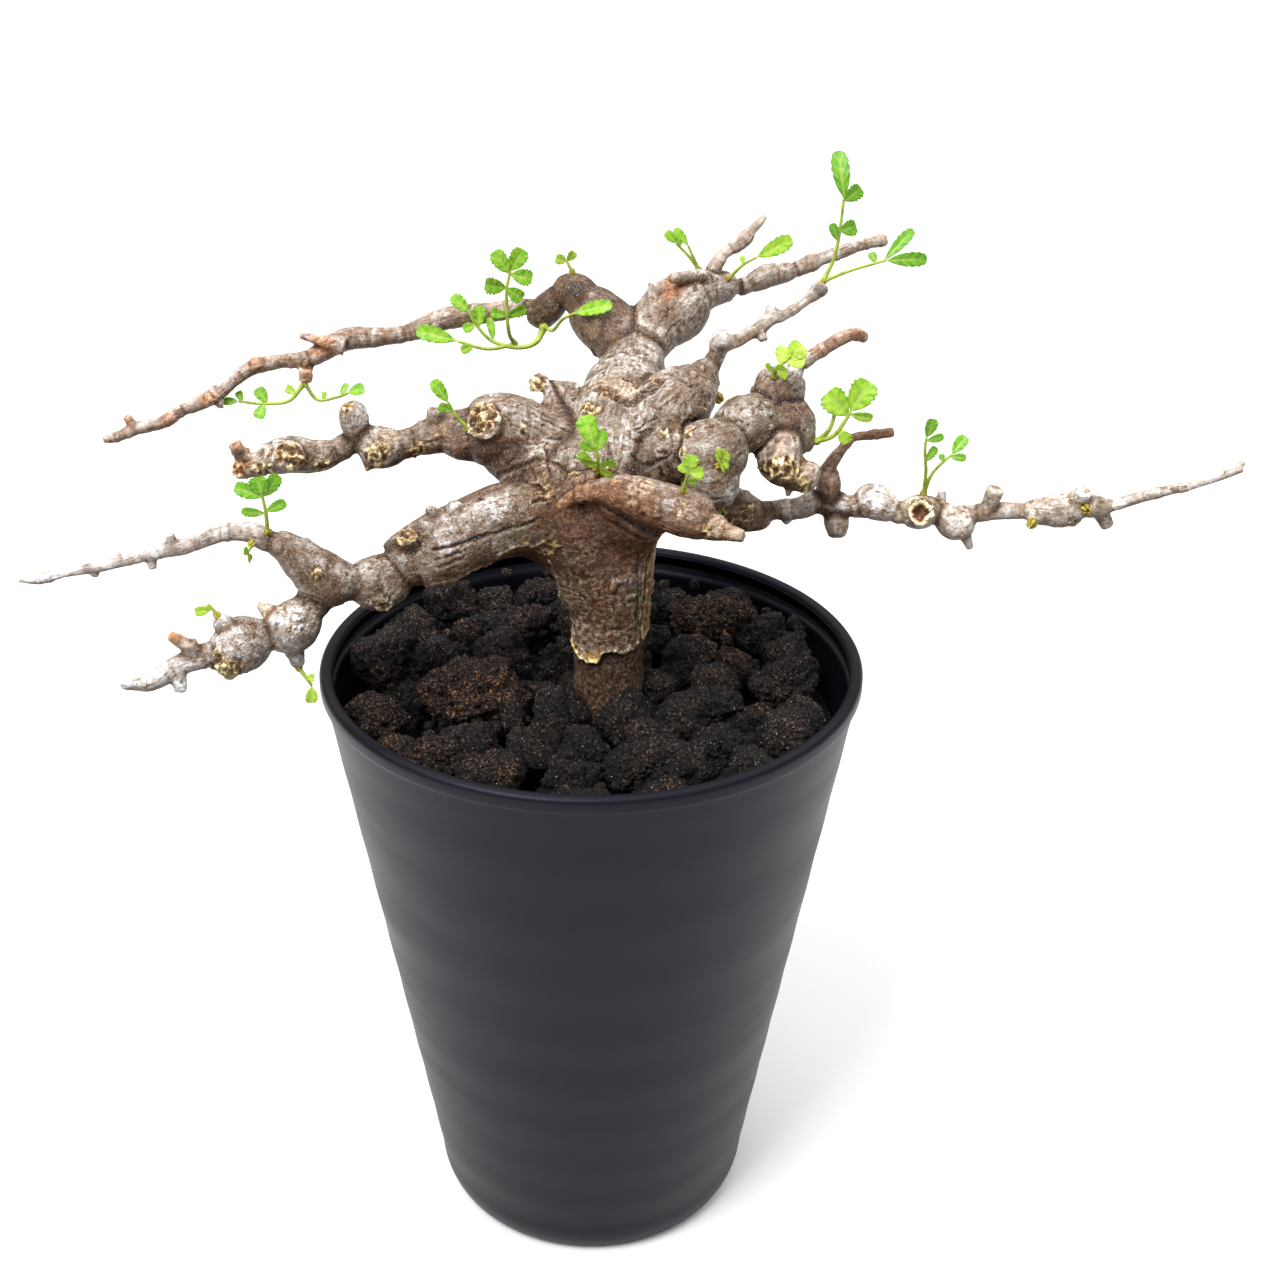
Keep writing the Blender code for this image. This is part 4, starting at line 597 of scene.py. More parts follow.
# Marks on the bark, by kind, as centre and reach. Cork is ochre and crumbly, tan papery and light brown,
# russet orange-brown where a twig left or broke, shade a painted shadow under the limbs and in the crown's
# folds, ridge warm brown and worn smooth, pale silvery or cream skin, in part a painted highlight on the top
# of the left low limb and down the front of the crown, flap cream and inside out, olive greenish grey, rust
# red-brown, and dark near black: dark bark round cut knots and hollows, and painted shade down the trunk's
# sides and in the crown's folds
barkMarks = {name: table(rows) for name, rows in labelled("""
cork: -39.6 2.2 166.4 2.6; -33.1 5.7 165.7 2; -30 3.4 168.6 2.2; -49.6 3.6 163.8 1.8; -61.2 2.7 163.2 2.4;
2.6 9.6 175.9 1.5; 4.6 8.4 175.4 1.3; -24.6 -9 150.4 2; -8.1 -6.2 162.1 2.6; -6.6 -3.1 163.4 3.2;
1.4 -4.7 165.2 3; -3 -4 165.4 2.6; 11.2 12.5 176.6 1.8; -33.6 -13.6 157.6 2.3; -48.9 -18 151.9 1.1;
-37.8 -15.7 144.2 2.2; -64.5 -27.2 137.6 3.4; -66 -26 136 2.6; -55.1 0.7 167 3.2; -65.8 3.6 163.6 2.6;
-44.8 4.6 175.1 1.6; -19.8 1.6 173.8 3.3; 26.4 11 149.6 2.4; 30 11.6 150.6 2.2; 63.2 7.6 152.8 2.8;
36 1.7 164.3 2.2; 33 3 163.4 2.4; 39.6 2.6 161 1.8; 20.5 -19.4 161.6 1.9; -12 -7.5 155 2.6; -9 -8.6 152.5 2.6;
-9.6 18 175.2 2.6; -0.8 6.9 173.6 1.4; 0.7 5.4 173.8 1.2; -3.2 -0.6 167.7 1.5; 2.9 -4.2 166.2 1.8;
-3.2 -2.2 165.7 1.6; 20 11.1 172.6 1.6; 18.7 9.8 171.4 1.4; -64.6 4.4 165.6 2.2; -57.4 1.6 166.6 2.4;
16.5 2.2 170.6 1.6; 17.6 -2.2 172 1.4; 13.4 0.6 171.6 1.2; 16 -4.8 170 1.2; 92.5 4.6 151.6 1.6;
-12.5 3.4 170.6 1.6

tan: 2 11.4 177.4 3.2; 6.5 9.6 177.4 3.4; 3.9 9 175.8 2.2; -3.4 48.6 178.6 2.4; 0.4 41 177.8 2;
-58.3 -17.9 145.1 2.6; 25.8 -22.6 161.4 2.6; 22.4 -20.6 162.2 2.4; 34.4 57.3 196.7 1.8; 62.1 68.3 189.3 1.8;
16 -18.5 164.6 1.8; 35 2.2 165.6 2.8; 38.2 3.4 163 2.6; -103.4 -10.6 147.3 1.8; -72.6 -26.5 143 2.2;
15.2 44.6 182.6 3; -38 4.4 169 2.4; -28 5.6 169.6 2; 8.4 -15.7 166.9 2.8

russet: -56.6 52.4 171.6 3.4; -60.2 51.8 164.8 2.4; -70 50.8 167.6 2; -79.6 47 160.4 2.2; -88 44.6 156.6 2;
-95.4 42.4 158 1.6; -65.6 3 164.4 2.6; -65.4 3 167.6 2; -69.4 -25 144.4 1.6; -73 -26.4 144.2 1.6;
16.4 44.4 186 3.4; 62.9 6.6 151.4 1.6

shade: 12 -4.4 166 4.2; 9.6 -4.6 165.4 3.4; 13.4 -3.6 168.4 3; -16 -1 167.4 5; -19.5 0.6 166.6 4.4;
-13 -1.6 167 3.6; -24 4.6 165.6 3.4; -12.4 -7.6 148 3.4; 10.5 -2.4 168.4 2.4; 12.3 -3.9 167.1 2.6;
13.8 -4.9 165.5 2.8; 11.4 -4.4 165.3 2.6; 14.5 -4.2 168.6 2; -6 2.2 169.4 1.8; 19 9 170.6 2.6;
-1.4 47 183 2.6; 14.6 42.6 177 3.4

ridge: -9.8 -9.2 157.8 1.2; -8.6 -8.6 159.2 1.3; -7.1 -8.5 160.5 1.4; -9.8 -9 157.8 1.6; -7.7 -8.6 159.4 1.7;
-5.8 -9.2 161.1 1.8; -4.2 -10 162.6 2; -2.6 -10.6 163.9 2.2; -0.8 -11.2 165 2.5; 1.4 -12.2 165.8 2.8;
3.6 -13.2 165.6 3.2; 7 -15 164.4 3.6; 9.6 -16 164.6 2.8; 11.4 -17.6 161 2.8

pale: -24.6 -9.4 158.8 3; -20.6 -8.6 160.2 2.8; -16.8 -9.2 160.2 2.4; -27.6 -11.4 156.8 2; 5.9 4.2 173.2 0.9;
6 3 172.6 0.8; 6.1 1.6 171.8 0.9; 5.9 0.2 170.6 0.8; 6.1 -1 169.6 0.9; -25.3 -11.5 157.4 2.4;
-23 -11.2 158.4 2; -22.4 2.2 171.4 2.4; -82.5 -30.8 136.4 1.8; 13.8 -17.6 165.2 1.6; 47.4 12.2 152.2 2.2;
55 11 154.6 2.2; 7 26 177 2.4; -8.6 17.4 176.2 1.5; -48 -17.6 155.4 2; -40.2 -16 144.8 1.2;
-56 -21.6 145 1.8; -2.6 -8.6 133 1.4; -24.6 -11 156.6 2.2; -26.6 -12.4 154.8 1.6

flap: -4.6 -4.4 129.8 2.3; -2.9 -6.4 128.6 2.7; -0.6 -7.6 128.4 2.3; 1 -8.4 128.6 1.4

olive: -16.7 -10.9 155.2 3.2; -13.1 -10.2 155.6 3.4; -9 -9.6 155 3; -5.2 -8.6 151 3.4; -3.6 -7.6 146 3.2;
-3 -7.4 140 2.6; 3 -9 137 2.6; 7.6 -7 142 2.6

rust: 3.4 -11.2 159.4 3.6; -2.4 -11 158.4 3.4; 9.4 -9.6 155 3.6; 8.4 -16.6 161.6 2.4; 11.4 -4 148 2.6;
11.2 -3.6 154 3.6; -22.7 4.4 165 3.4; -30 6 165.4 2.6; 28.2 11.6 152.5 2.6; -73.8 -27.1 143.6 1.6;
16 44.9 186.8 3.2; 19.8 47.1 187 2.4; 50 12.6 166 3.4; 55 12 167 3.6; 45 19.6 181.5 3.2; 50 21.4 183.5 3.4;
17.2 -20 161.6 1.8; -13 -6 149 3.6; -20 -7 147.4 3.6; -6.6 -4 148 3; 0.4 -9.4 141 2.4; 6.4 -8.6 138 2.2;
4.6 -9.4 152 3.4; 10.2 -4.4 151.4 1.9; 10.2 -5.5 148.2 1.9; 10.3 -5 144.6 1.9; 10.4 -4 140.6 1.8;
10.5 -2.4 136 1.6; 2.4 -9.6 145 2; -1.6 -9 135.6 2; 4 -9.2 133.6 1.8

dark: -43.5 3.6 165 1.6; -36 3.6 164.6 1.8; -52.8 2.6 169.6 1.6; -27.6 4 164.8 1.8; -47.2 4.4 170.6 1.4;
9.4 -3.4 167.4 1.8; 12.2 -4.4 165.2 2; 13.2 -4.7 166.4 2.4; 14.6 -5.4 163.6 2.8; 26.4 12 153.4 2.4;
24.3 19.3 182.2 1.6; 23.6 19.3 179.2 1.4; -55.5 4.4 168.9 1.8; -46 4.6 176 1.3; -65.4 3.2 166.4 1.4;
-3.3 49 184.3 2; -0.8 49.4 183.4 1.8; -69.4 -25 144.6 0.8; -73 -26.4 144.6 0.8; 32.6 2.6 166.8 1.6;
8.6 -7.2 156.6 1.6; -36.4 -11.6 154.4 1.6; 99 6 151.6 1.4; 14.2 42 186.6 1; 43.6 27.8 190.6 1;
-9.6 -7.6 157.2 1.2; 8.3 -5.9 153 1.2; 8.3 -7 150.2 1.2; 8.3 -7.3 147.6 1.3; 8.4 -7.2 144.8 1.3;
8.4 -7 141.8 1.3; 8.5 -6.3 138.6 1.2; 8.5 -6 135.4 1.1; -5.3 -5.4 146 1.3; -5.4 -4 142.8 1.3;
-5.5 -2.6 139.6 1.4; -5.4 -2.2 136.2 1.3
""")}
# Hollows and cut ends: centre on the bark, the way out, radius, depth
hollows = table("""
62.9 6.9 153 -0.2 -0.9 0.45 1.9 1.6; -37.8 -16 144 0.15 -0.95 -0.3 1.3 0.9;
-65.9 -27.3 135.9 -0.5 -0.8 -0.5 1.1 0.7; -33.3 -13.9 157.3 -0.1 -0.75 0.7 0.7 0.35;
-48.9 -18.4 151.9 0 -0.95 0.3 0.45 0.25; -53.8 -22.2 143 0.2 -0.9 0.3 0.4 0.2;
-40.6 -16.2 145.2 -0.2 -0.9 -0.2 0.4 0.2; 72 8 148 0.1 -1 -0.1 0.4 0.2""")
# Long dark cracks in the bark: width and depth, then the points they pass through
cracks = tables("""
0.18 0.45; -28.6 -13.4 154.4; -24 -12.8 155.2; -19 -11.4 156.4; -14.6 -10.2 157.4; -10 -8.8 158.6 |
0.13 0.3; -28.4 -14.4 152.9; -25.6 -13.9 153.5; -23 -13.1 154 |
0.12 0.28; -27.6 -14.8 151.6; -25 -14.2 152.3; -22.8 -13.5 153 |
0.12 0.3; 14 10.6 173.6; 12.2 10.2 174.4; 9.4 9.6 174.8 |
0.14 0.35; 7.5 1.8 171.1; 8.8 3.3 171.1; 10.2 5 171.2; 11.7 5.7 171.8 |
0.12 0.3; 8.4 2.2 170.5; 9.9 2.9 170.9; 11.2 2.5 171.4 |
0.2 0.5; 7.3 -1.5 168; 8.7 -2.5 167.1; 10.9 -3.2 167.2; 13.1 -3.6 168.5; 14.5 -3.9 169.6 |
0.16 0.4; 11.4 -2.3 169.5; 12.7 -3 169.4; 13.9 -3.7 169.5 |
0.15 0.4; 12 -4 166.4; 12.6 -4.8 164.8; 13.4 -5.4 163.4 |
0.2 0.45; -8 2.8 169.1; -6.3 2.2 168.9; -4.8 1.7 168.5 |
0.13 0.3; -9.7 6.3 171.8; -7.5 5.6 171.3; -5.2 4.1 170.7; -3.4 2.7 170.1 |
0.14 0.3; -14.9 3.7 164.5; -13.4 2.9 166.2 |
0.14 0.3; -7.6 1.6 167.2; -7.4 0.8 165.7; -6.3 0 164.8; -5.9 -2.2 163.8 |
0.18 0.5; -11.6 -1.9 161.6; -9.9 -4.3 162.8; -8.4 -5.5 162.4 |
0.18 0.5; -10.7 -8 161.5; -9.3 -7.2 161.7; -7.7 -7.6 161.5; -6.6 -7.2 162.1 |
0.22 0.6; 10.2 -6.6 153; 9.9 -6 147; 9.7 -5.6 141; 9.4 -5.2 135; 9.2 -5 131 |
0.12 0.25; 8.2 -7.8 152; 8.2 -7.4 147; 8.4 -7 142; 8.2 -6.8 137""")
# Wider valleys between lobes, given like the cracks; they darken to brown rather than black, in part as
# painted shade
valleys = tables("""
0.75 0.6; 1.1 10.9 175.9; 2.6 9.5 176; 4 8.7 175.7; 5.5 7.4 175; 7.4 7.1 174.8; 9.3 8.4 174.5; 10.8 9.3 175.1;
11.9 10.3 176; 12.9 11.6 176.7 |
0.36 0.6; 17.7 8.2 171.2; 16 0.1 172.7; 15.2 -3 171.6; 14.8 -4.3 169.2; 15.2 -5.6 166.8; 16.4 -4.8 164.1 |
0.5 1; 2.6 -11.6 162.6; 5 -12.4 160.4; 8.4 -12.4 158.4; 11.4 -10.6 156 |
0.6 0.25; 0 2 171; 2 -0.6 169.4; 2.9 -3 167.4""")
# Saddles that fill the forks where limbs leave the crown, given like the limbs
saddles = tables("""
-17 -3.4 153 4.6; -11 -3.2 152.4 4.8; -6.5 -2.4 149 4.6; -2.4 -1.2 143 4.6 |
-0.2 -1.6 141 6.6; -1 -2.6 147 6.6; -2 -4.8 152.4 5.8; -3 -6.6 156.6 4.6; -3.4 -7.6 159.6 3.2;
-3.2 -8 161.2 1.6 |
-1 -1 139 5.2; -3 -2.4 146 5.6; -5 -3.8 151.5 5; -7.2 -4.8 155.4 3.6; -9 -4.6 156.4 2.2 |
6.8 -1 141 4.8; 7 -2.4 148 5; 7.6 -4.8 154 5; 9.4 -7.6 158.6 4.8; 12 -10.4 162 4.2 |
4 -4 157 6.2; 4.6 -6.6 161 5.2; 5 -8.4 163.4 3.8; 5.2 -9 165 2 |
-8 2 161 6.8; -4 0 163.5 7; 2 1.5 165 7.2 |
6 8 167 7.4; 12 10 169.6 7.6; 17 14 172.6 6; 20 17.4 175 4.4 |
-4 12 164 7; 1 15 167 6.8; 5 20 169 6.2 |
-5 12 166 5.4; -5.2 14.6 169.6 5; -4.9 16.4 172.4 3.8; -4.6 17 174.2 2.2; -4.6 17 175.2 0.8 |
-1 14 168 5.6; -1.4 16.2 171 4.2; -1.6 16.8 172.8 2.6; -1.6 17 173.8 1 |
21 -1.4 166 6; 22 -3.4 162.8 5; 22.4 -3.6 160.8 3.9; 22.5 -3.6 159.4 2.6; 22.5 -3.6 158.5 0.8 |
-17 8 167 5.6; -12 6 164 6.6; -6 3 161 7.4 |
-9.5 -5.6 157.6 2.6; -7.3 -5.6 160 2.4; -5.6 -5.4 161.7 2.4; -3.8 -5.6 163 2.4; -1.5 -6.2 163.9 2.4;
1.4 -7.6 165 2.4""")
# How each limb's bark departs from the common grey: warmer toward red-brown, lighter or darker, and sandier
limbTint = {
    "trunk": (0.20, 0.06, 0.0), "backLeftLimb": (0.16, -1.20, 0.0), "backRightLimb": (0.15, -0.02, 0.25),
    "upperLimb": (0.08, -0.34, 0.2), "beadLimb": (0.05, -0.34, 0.1), "beadLimbTop": (0.05, -0.20, 0.2),
    "beadLimbTwig": (0.50, 0.25, 0.5), "beadLimbLow": (0.40, 0.40, 0.6), "rightLimb": (0.45, -0.45, 0.4),
    "rightLimbTwig": (0.75, -0.35, 0.2), "frontLimb": (0.50, -0.35, 0.2), "upperTwig": (0.25, 0.20, 0.4),
    "backRightTwig": (0.50, 0.28, 0.3), "backRightTip": (0.25, 0.10, 0.4), "backLeftTwig": (0.58, 0.24, 0.2),
    "rightLimbTip": (0.20, 0.40, 0.6), "leftLowTwig": (0.30, 0.55, 0.1), "leftMiddleLimb": (0.20, -0.36, 0.2),
    "rightLimbDrop": (0.10, 0.30, 0.5), "rightLimbBeads": (0.10, 0.75, 0.6),
    "leftLowBeads": (0.05, 0.12, 0.0),
    "leftLowLimb": (0.06, -0.46, 0.0),
}
# The ragged lower edge of the trunk's bark, torn open up its left side: angle about the trunk in degrees,
# height
sheathEdge = table("""
-180 152; -160 151; -156 143; -152 131.5; -149 129.6; -140 128.6; -130 127.8; -114 127.6; -104 128.2;
-98 129.9; -87 130.1; -70 129.8; -52 130.2; -36 131.2; -12 131.6; 20 133; 60 131; 100 132.6; 140 131.2;
150 132; 160 151; 180 152""")
# The torn edge of the bark under the left low limb: x and height
archEdge = table("""
-31 140; -29.5 147; -27 147.4; -24 147.8; -19.5 149.6; -16.9 151.9; -13.6 153.5; -11.6 153.5; -9.2 151.7;
-7.6 148.6; -6.4 144; -5.6 131""")
# The front limb's crest above the hollow face: x and height
crestLine = table("""
-11 153.6; -9.8 156; -7.7 157.6; -5.8 159.2; -4.2 160.6; -2.6 161.6; -0.8 162.2; 1.4 162.4; 3.4 162""")
trunkAxis = (3.0, 0.0)


def fusedSkin(points, *faces):
    # overlapping closed tubes made one even skin of squares by a voxel remesh
    mesh = bpy.data.meshes.new("roughWood")
    mesh.from_pydata((points * mm).tolist(), [], [f for part in faces for f in part.tolist()])
    rough = addObject("roughWood", mesh)
    remesh = rough.modifiers.new("skin", "REMESH")
    remesh.mode, remesh.voxel_size = "VOXEL", wood["voxel"] * mm
    skin = rough.evaluated_get(bpy.context.evaluated_depsgraph_get()).data
    places = np.empty(len(skin.vertices) * 3, np.float32)
    skin.vertices.foreach_get("co", places)
    corners = np.empty(len(skin.loops), np.int32)
    skin.loops.foreach_get("vertex_index", corners)
    bpy.data.objects.remove(rough)
    bpy.data.meshes.remove(mesh)
    return places.reshape(-1, 3).astype(float) / mm, corners.reshape(-1, 4)


def edgesOf(quads):
    ends = np.sort(np.vstack([quads[:, [i, (i + 1) % 4]] for i in range(4)]), axis=1)
    return np.unique(ends, axis=0)


def relaxed(values, edges, times):
    # each value moved half way to the mean of its neighbours, a number of times
    values = np.asarray(values, float)
    flat = values.reshape(len(values), -1).copy()
    count = np.bincount(edges.ravel(), minlength=len(flat))
    for _ in range(times):
        for i in range(flat.shape[1]):
            total = np.bincount(edges[:, 0], flat[edges[:, 1], i], len(flat))
            total += np.bincount(edges[:, 1], flat[edges[:, 0], i], len(flat))
            flat[:, i] = 0.5 * flat[:, i] + 0.5 * total / count
    return flat.reshape(values.shape)


def normalsOf(points, quads):
    # each point's normal: the sum of its squares' normals, from the cross of their diagonals
    crossed = np.cross(points[quads[:, 2]] - points[quads[:, 0]], points[quads[:, 3]] - points[quads[:, 1]])
    total = np.stack([np.bincount(quads.ravel(), np.repeat(crossed[:, i], 4), len(points))
                      for i in range(3)], 1)
    return unit(total)


def limbPlaces(points):
    # for each point: its limb, its place as (along the limb, two ways across it), the limb's radius there
    # against the run's mean, and how much nearer it is to that limb than to the next
    best, second = np.full(len(points), 1e9), np.full(len(points), 1e9)
    limb = np.zeros(len(points), int)
    grain, radius, neck = np.zeros((len(points), 3)), np.ones(len(points)), np.zeros(len(points))
    for index, stations in enumerate(limbStations.values()):
        rings = smoothStations(stations, 6)
        path, thick = rings[:, :3], rings[:, 3]
        _, across, up = ringAxes(path)
        reach = np.concatenate([[0], np.cumsum(np.linalg.norm(np.diff(path, axis=0), axis=1))])
        spread = np.exp(-((reach[:, None] - reach[None]) / 5.0) ** 2)
        mean = spread @ thick / spread.sum(axis=1)
        near = np.flatnonzero(((points > path.min(axis=0) - thick.max() - 3)
                               & (points < path.max(axis=0) + thick.max() + 3)).all(axis=1))
        for part in np.array_split(near, max(1, len(near) // 20000)):
            away = np.linalg.norm(points[part, None] - path[None], axis=2)
            score = away - thick
            ring = score.argmin(axis=1)
            value = score[np.arange(len(part)), ring]
            nearer = value < best[part]
            second[part] = np.where(nearer, best[part], np.minimum(second[part], value))
            chosen, ring = part[nearer], ring[nearer]
            best[chosen] = value[nearer]
            limb[chosen] = index
            offset = points[chosen] - path[ring]
            grain[chosen] = np.column_stack([
                reach[ring] + 50.0 * index, np.einsum("ij,ij->i", offset, across[ring]),
                np.einsum("ij,ij->i", offset, up[ring])])
            radius[chosen] = thick[ring]
            neck[chosen] = 1 - thick[ring] / mean[ring]
    return limb, grain, radius, neck, second - best


def markShare(points, spots, seed):
    # how much of a mark of one kind lies at each point: full in the middle, ragged at its edge
    share = np.zeros(len(points))
    ragged = 0.55 * latticeNoise(points / 1.9, seed) + 0.34 * latticeNoise(points / 0.8, seed + 1)
    for *centre, reach in spots:
        share = np.maximum(share, smoothStep(1.1, 0.62, distance(points, centre) / reach + ragged))
    return share


def trunkAngle(points):
    # degrees about the trunk: 0 to the right, 90 to the back
    return np.degrees(np.arctan2(points[:, 1] - trunkAxis[1], points[:, 0] - trunkAxis[0]))


def sheathHeight(points):
    # the height of the bark's ragged edge at each point's angle about the trunk
    ragged = (0.5 * latticeNoise(points * (1, 1, 0) / 1.2, 5)
              + 0.25 * latticeNoise(points * (1, 1, 0) / 0.5, 6))
    return np.interp(trunkAngle(points), *zip(*sheathEdge)) + ragged


def crackShare(points, path, width):
    # nearness to a crack's line, laid on the skin: 1 on it, 0 at its width and beyond
    line = smoothStations(path, 12)
    around = np.flatnonzero(((points > line.min(axis=0) - 5) & (points < line.max(axis=0) + 5)).all(axis=1))
    share = np.zeros(len(points))
    if not len(around):
        return share
    line = np.array([points[around[distance(points[around], spot).argmin()]] for spot in line[::2]])
    line = smoothStations(line[::2], 8)
    near = np.flatnonzero(((points > line.min(axis=0) - 2) & (points < line.max(axis=0) + 2)).all(axis=1))
    away = np.linalg.norm(points[near, None] - line[None], axis=2).min(axis=1)
    away += 0.25 * latticeNoise(points[near] / 1.3, 31)
    share[near] = smoothStep(width * 2.2, width * 0.5, away)
    return share


def blended(points, edges, share):
    # the skin drawn in over the forks, as a film would be: the points that share picks move to the mean of
    # their neighbours again and again
    count = np.bincount(edges.ravel(), minlength=len(points))[:, None]
    active = np.flatnonzero(share > 0.01)
    for _ in range(wood["blendTimes"]):
        total = np.stack([np.bincount(edges[:, 0], points[edges[:, 1], i], len(points))
                          + np.bincount(edges[:, 1], points[edges[:, 0], i], len(points))
                          for i in range(3)], 1)
        moved = total[active] / count[active] - points[active]
        points[active] += 0.8 * share[active, None] * moved
    return points


def faceUnderCrest(points):
    # the hollow face between the front limb's crest and the trunk
    x, y, z = points.T
    crest = np.interp(x, *zip(*crestLine))
    return (smoothStep(3.4, 0.8, x) * smoothStep(-12, -10, x) * smoothStep(-3.5, -5, y)
            * smoothStep(0.6, -0.4, z - crest) * smoothStep(146, 150, z))


def growWood(names, ownSpurs, fillers):
    # the named limbs with their spurs and fillers fused, the bark raised on them, and the layers that colour
    # it
    tubes = []
    for index, (name, stations) in enumerate(limbStations.items()):
        if name in names:
            thick = max(station[3] for station in stations) > wood["thickRadius"]
            sides = wood["sides"] if thick else wood["twigSides"]
            tubes.append(tube(smoothStations(stations, wood["steps"]), sides, wood["lump"], index))
    tubes += [tube(smoothStations(stations, wood["steps"]), wood["sides"]) for stations in fillers]
    for spur in ownSpurs:
        foot, top, share = np.array(spur[:3]), np.array(spur[3:6]), np.linspace(0, 1, 7)[:, None]
        line = np.hstack([foot + share * (top - foot), spur[6] + share * (spur[7] - spur[6])])
        tubes.append(tube(line, wood["twigSides"], 0.10, 60))
    points, quads = fusedSkin(*joined(*zip(*tubes)))
    report(f"wood fused, {len(quads)} squares")
    edges = edgesOf(quads)
    points = relaxed(points, edges, 1)
    x, y, z = points.T  # these follow the points while blending moves them
    if fillers:
        _, _, radius, _, gap = limbPlaces(points)
        fork = smoothStep(wood["blendReach"], 0.8, gap) * smoothStep(3.0, 5.0, radius)
        column = 0.8 * smoothStep(13, 11, np.hypot(x - 3.5, y + 1)) * smoothStep(156, 150, z)
        share = np.maximum(relaxed(fork, edges, 8), np.maximum(column, faceUnderCrest(points)))
        points = blended(points, edges, share)
    limb, grain, radius, neck, gap = limbPlaces(points)
    report("bark laid out along the limbs")

    def noise(size, seed):
        return latticeNoise(points / size, seed)

    thick = smoothStep(1.2, 4.5, radius)
    twig = 1 - smoothStep(1.6, 2.8, radius)
    # where limbs meet and at necks; in the bark's colour a crease is partly a brown seam and partly painted
    # shade
    crease = smoothStep(1.3, 0.0, gap) * smoothStep(1.5, 3.0, radius) * (1 - faceUnderCrest(points))
    for place, near, far in (((12, 9, 171), 5, 9), ((-6, -7, 160.5), 3, 7)):  # there the forms run together
        crease *= smoothStep(near, far, distance(points, place))
    neckShare = smoothStep(0.02, 0.25, neck)
    out = wood["lumpHeight"] * fractalNoise(points / wood["lumpSize"], 3) * (0.35 + 0.65 * thick)
    out += wood["skinHeight"] * fractalNoise(points / wood["skinSize"], 11, 2) * (0.5 + 0.5 * thick)
    streak = 1 - np.abs(fractalNoise(grain / (7.0, 0.95, 0.95), 21, 2)) * 2
    # the trunk up to its fork, and the funnel into which it flares there
    apart = np.hypot(x - 3.5, y + 3 * smoothStep(142, 156, z))
    trunkShare = smoothStep(16, 12, apart) * smoothStep(163, 157, z + 0.6 * (x - 3))
    # the funnel's share is used in the bark's colour as a painted shadow under the front limb's crest
    funnel = smoothStep(17, 13, apart) * smoothStep(144, 152, z) * smoothStep(164, 160, z)
    some = smoothStep(-0.3, 0.4, noise(8.0, 23)) * (1 - 0.8 * trunkShare)
    out += wood["streakHeight"] * streak * thick * some
    wander = 0.35 * noise(1.8, 24)[:, None]
    wrinkle = 1 - np.abs(latticeNoise(grain / (0.75, 6.0, 6.0) + wander, 25)) * 2.4
    out += (wood["wrinkleHeight"] * wrinkle * (1 - trunkShare) * (0.25 + 0.75 * neckShare)
            * smoothStep(1.2, 2.4, radius))
    # a hole where the noise is high, likewise a wart; ring scars of the twigs lie across them
    pits = smoothStep(0.46, 0.72, noise(1.15, 27) + 0.2 * noise(0.6, 28))
    out -= wood["pitDepth"] * pits * (0.3 + 0.7 * thick)
    warts = smoothStep(0.52, 0.78, noise(1.9, 33)) * smoothStep(-0.1, 0.4, noise(11.0, 34))
    out += wood["wartHeight"] * warts * (0.5 + 0.5 * thick)
    scars = smoothStep(0.35, 0.7, latticeNoise(grain * (1, 0, 0) / 1.1 + 7, 37))
    out += wood["scarHeight"] * scars * twig
    out -= wood["creaseDepth"] * crease

    # marks, valleys and cracks: the crumbs of cork stand up, the lines are cut in
    marks = {kind: markShare(points, spots, 41 + i) for i, (kind, spots) in enumerate(barkMarks.items())}
    crumbs = 1 - 2.6 * np.abs(noise(1.1, 47)) + 0.9 * noise(0.6, 48)
    out += 0.42 * marks["cork"] * crumbs
    for (width, depth), *path in valleys:
        share = crackShare(points, path, width)
        out -= depth * share
        crease = np.maximum(crease, min(0.9, depth) * share)
    crackMask = np.zeros(len(points))
    for (width, depth), *path in cracks:
        share = crackShare(points, path, width)
        out -= depth * share
        crackMask = np.maximum(crackMask, share)
    # the bark ends in a torn edge round the trunk's stem and under the left low limb
    onTrunk = (np.hypot(x - trunkAxis[0], y - trunkAxis[1]) < 13) & (z < 153) & (x > -9)
    below = np.where(onTrunk, sheathHeight(points) - z, -9.0)
    stem = smoothStep(-0.15, 0.25, below) * smoothStep(153, 149, z)
    out -= wood["sheathStep"] * stem
    underArch = (x > -30) & (x < -5.8) & (y < 4) & (z > 130)
    ragged = 0.7 * noise(1.6, 15) + 0.35 * noise(0.6, 16)
    beyond = np.where(underArch, np.interp(x, *zip(*archEdge)) + ragged - z, -9.0)
    torn = smoothStep(-0.1, 0.3, beyond) * smoothStep(4, 1, y)
    out -= wood["tornStep"] * torn * (1 - stem)
    rim = np.maximum(smoothStep(1.5, 0.1, -below) * (below < 0.2) * onTrunk,
                     smoothStep(1.3, 0.1, -beyond) * (beyond < 0.2) * underArch * smoothStep(4, 1, y))
    out += 0.30 * rim
    paleEdge = np.maximum(smoothStep(0.75, 0.25, -below) * (below < 0.15) * onTrunk,
                          smoothStep(0.70, 0.2, -beyond) * (beyond < 0.15) * underArch)
    band = torn * smoothStep(6.0, 2.0, beyond)  # the inner side shows red-brown near its torn edge
    marks["russet"] = np.maximum(marks["russet"], band)
    marks["flap"] *= 1 - stem
    stem = np.maximum(stem, torn * (1 - 0.75 * band))

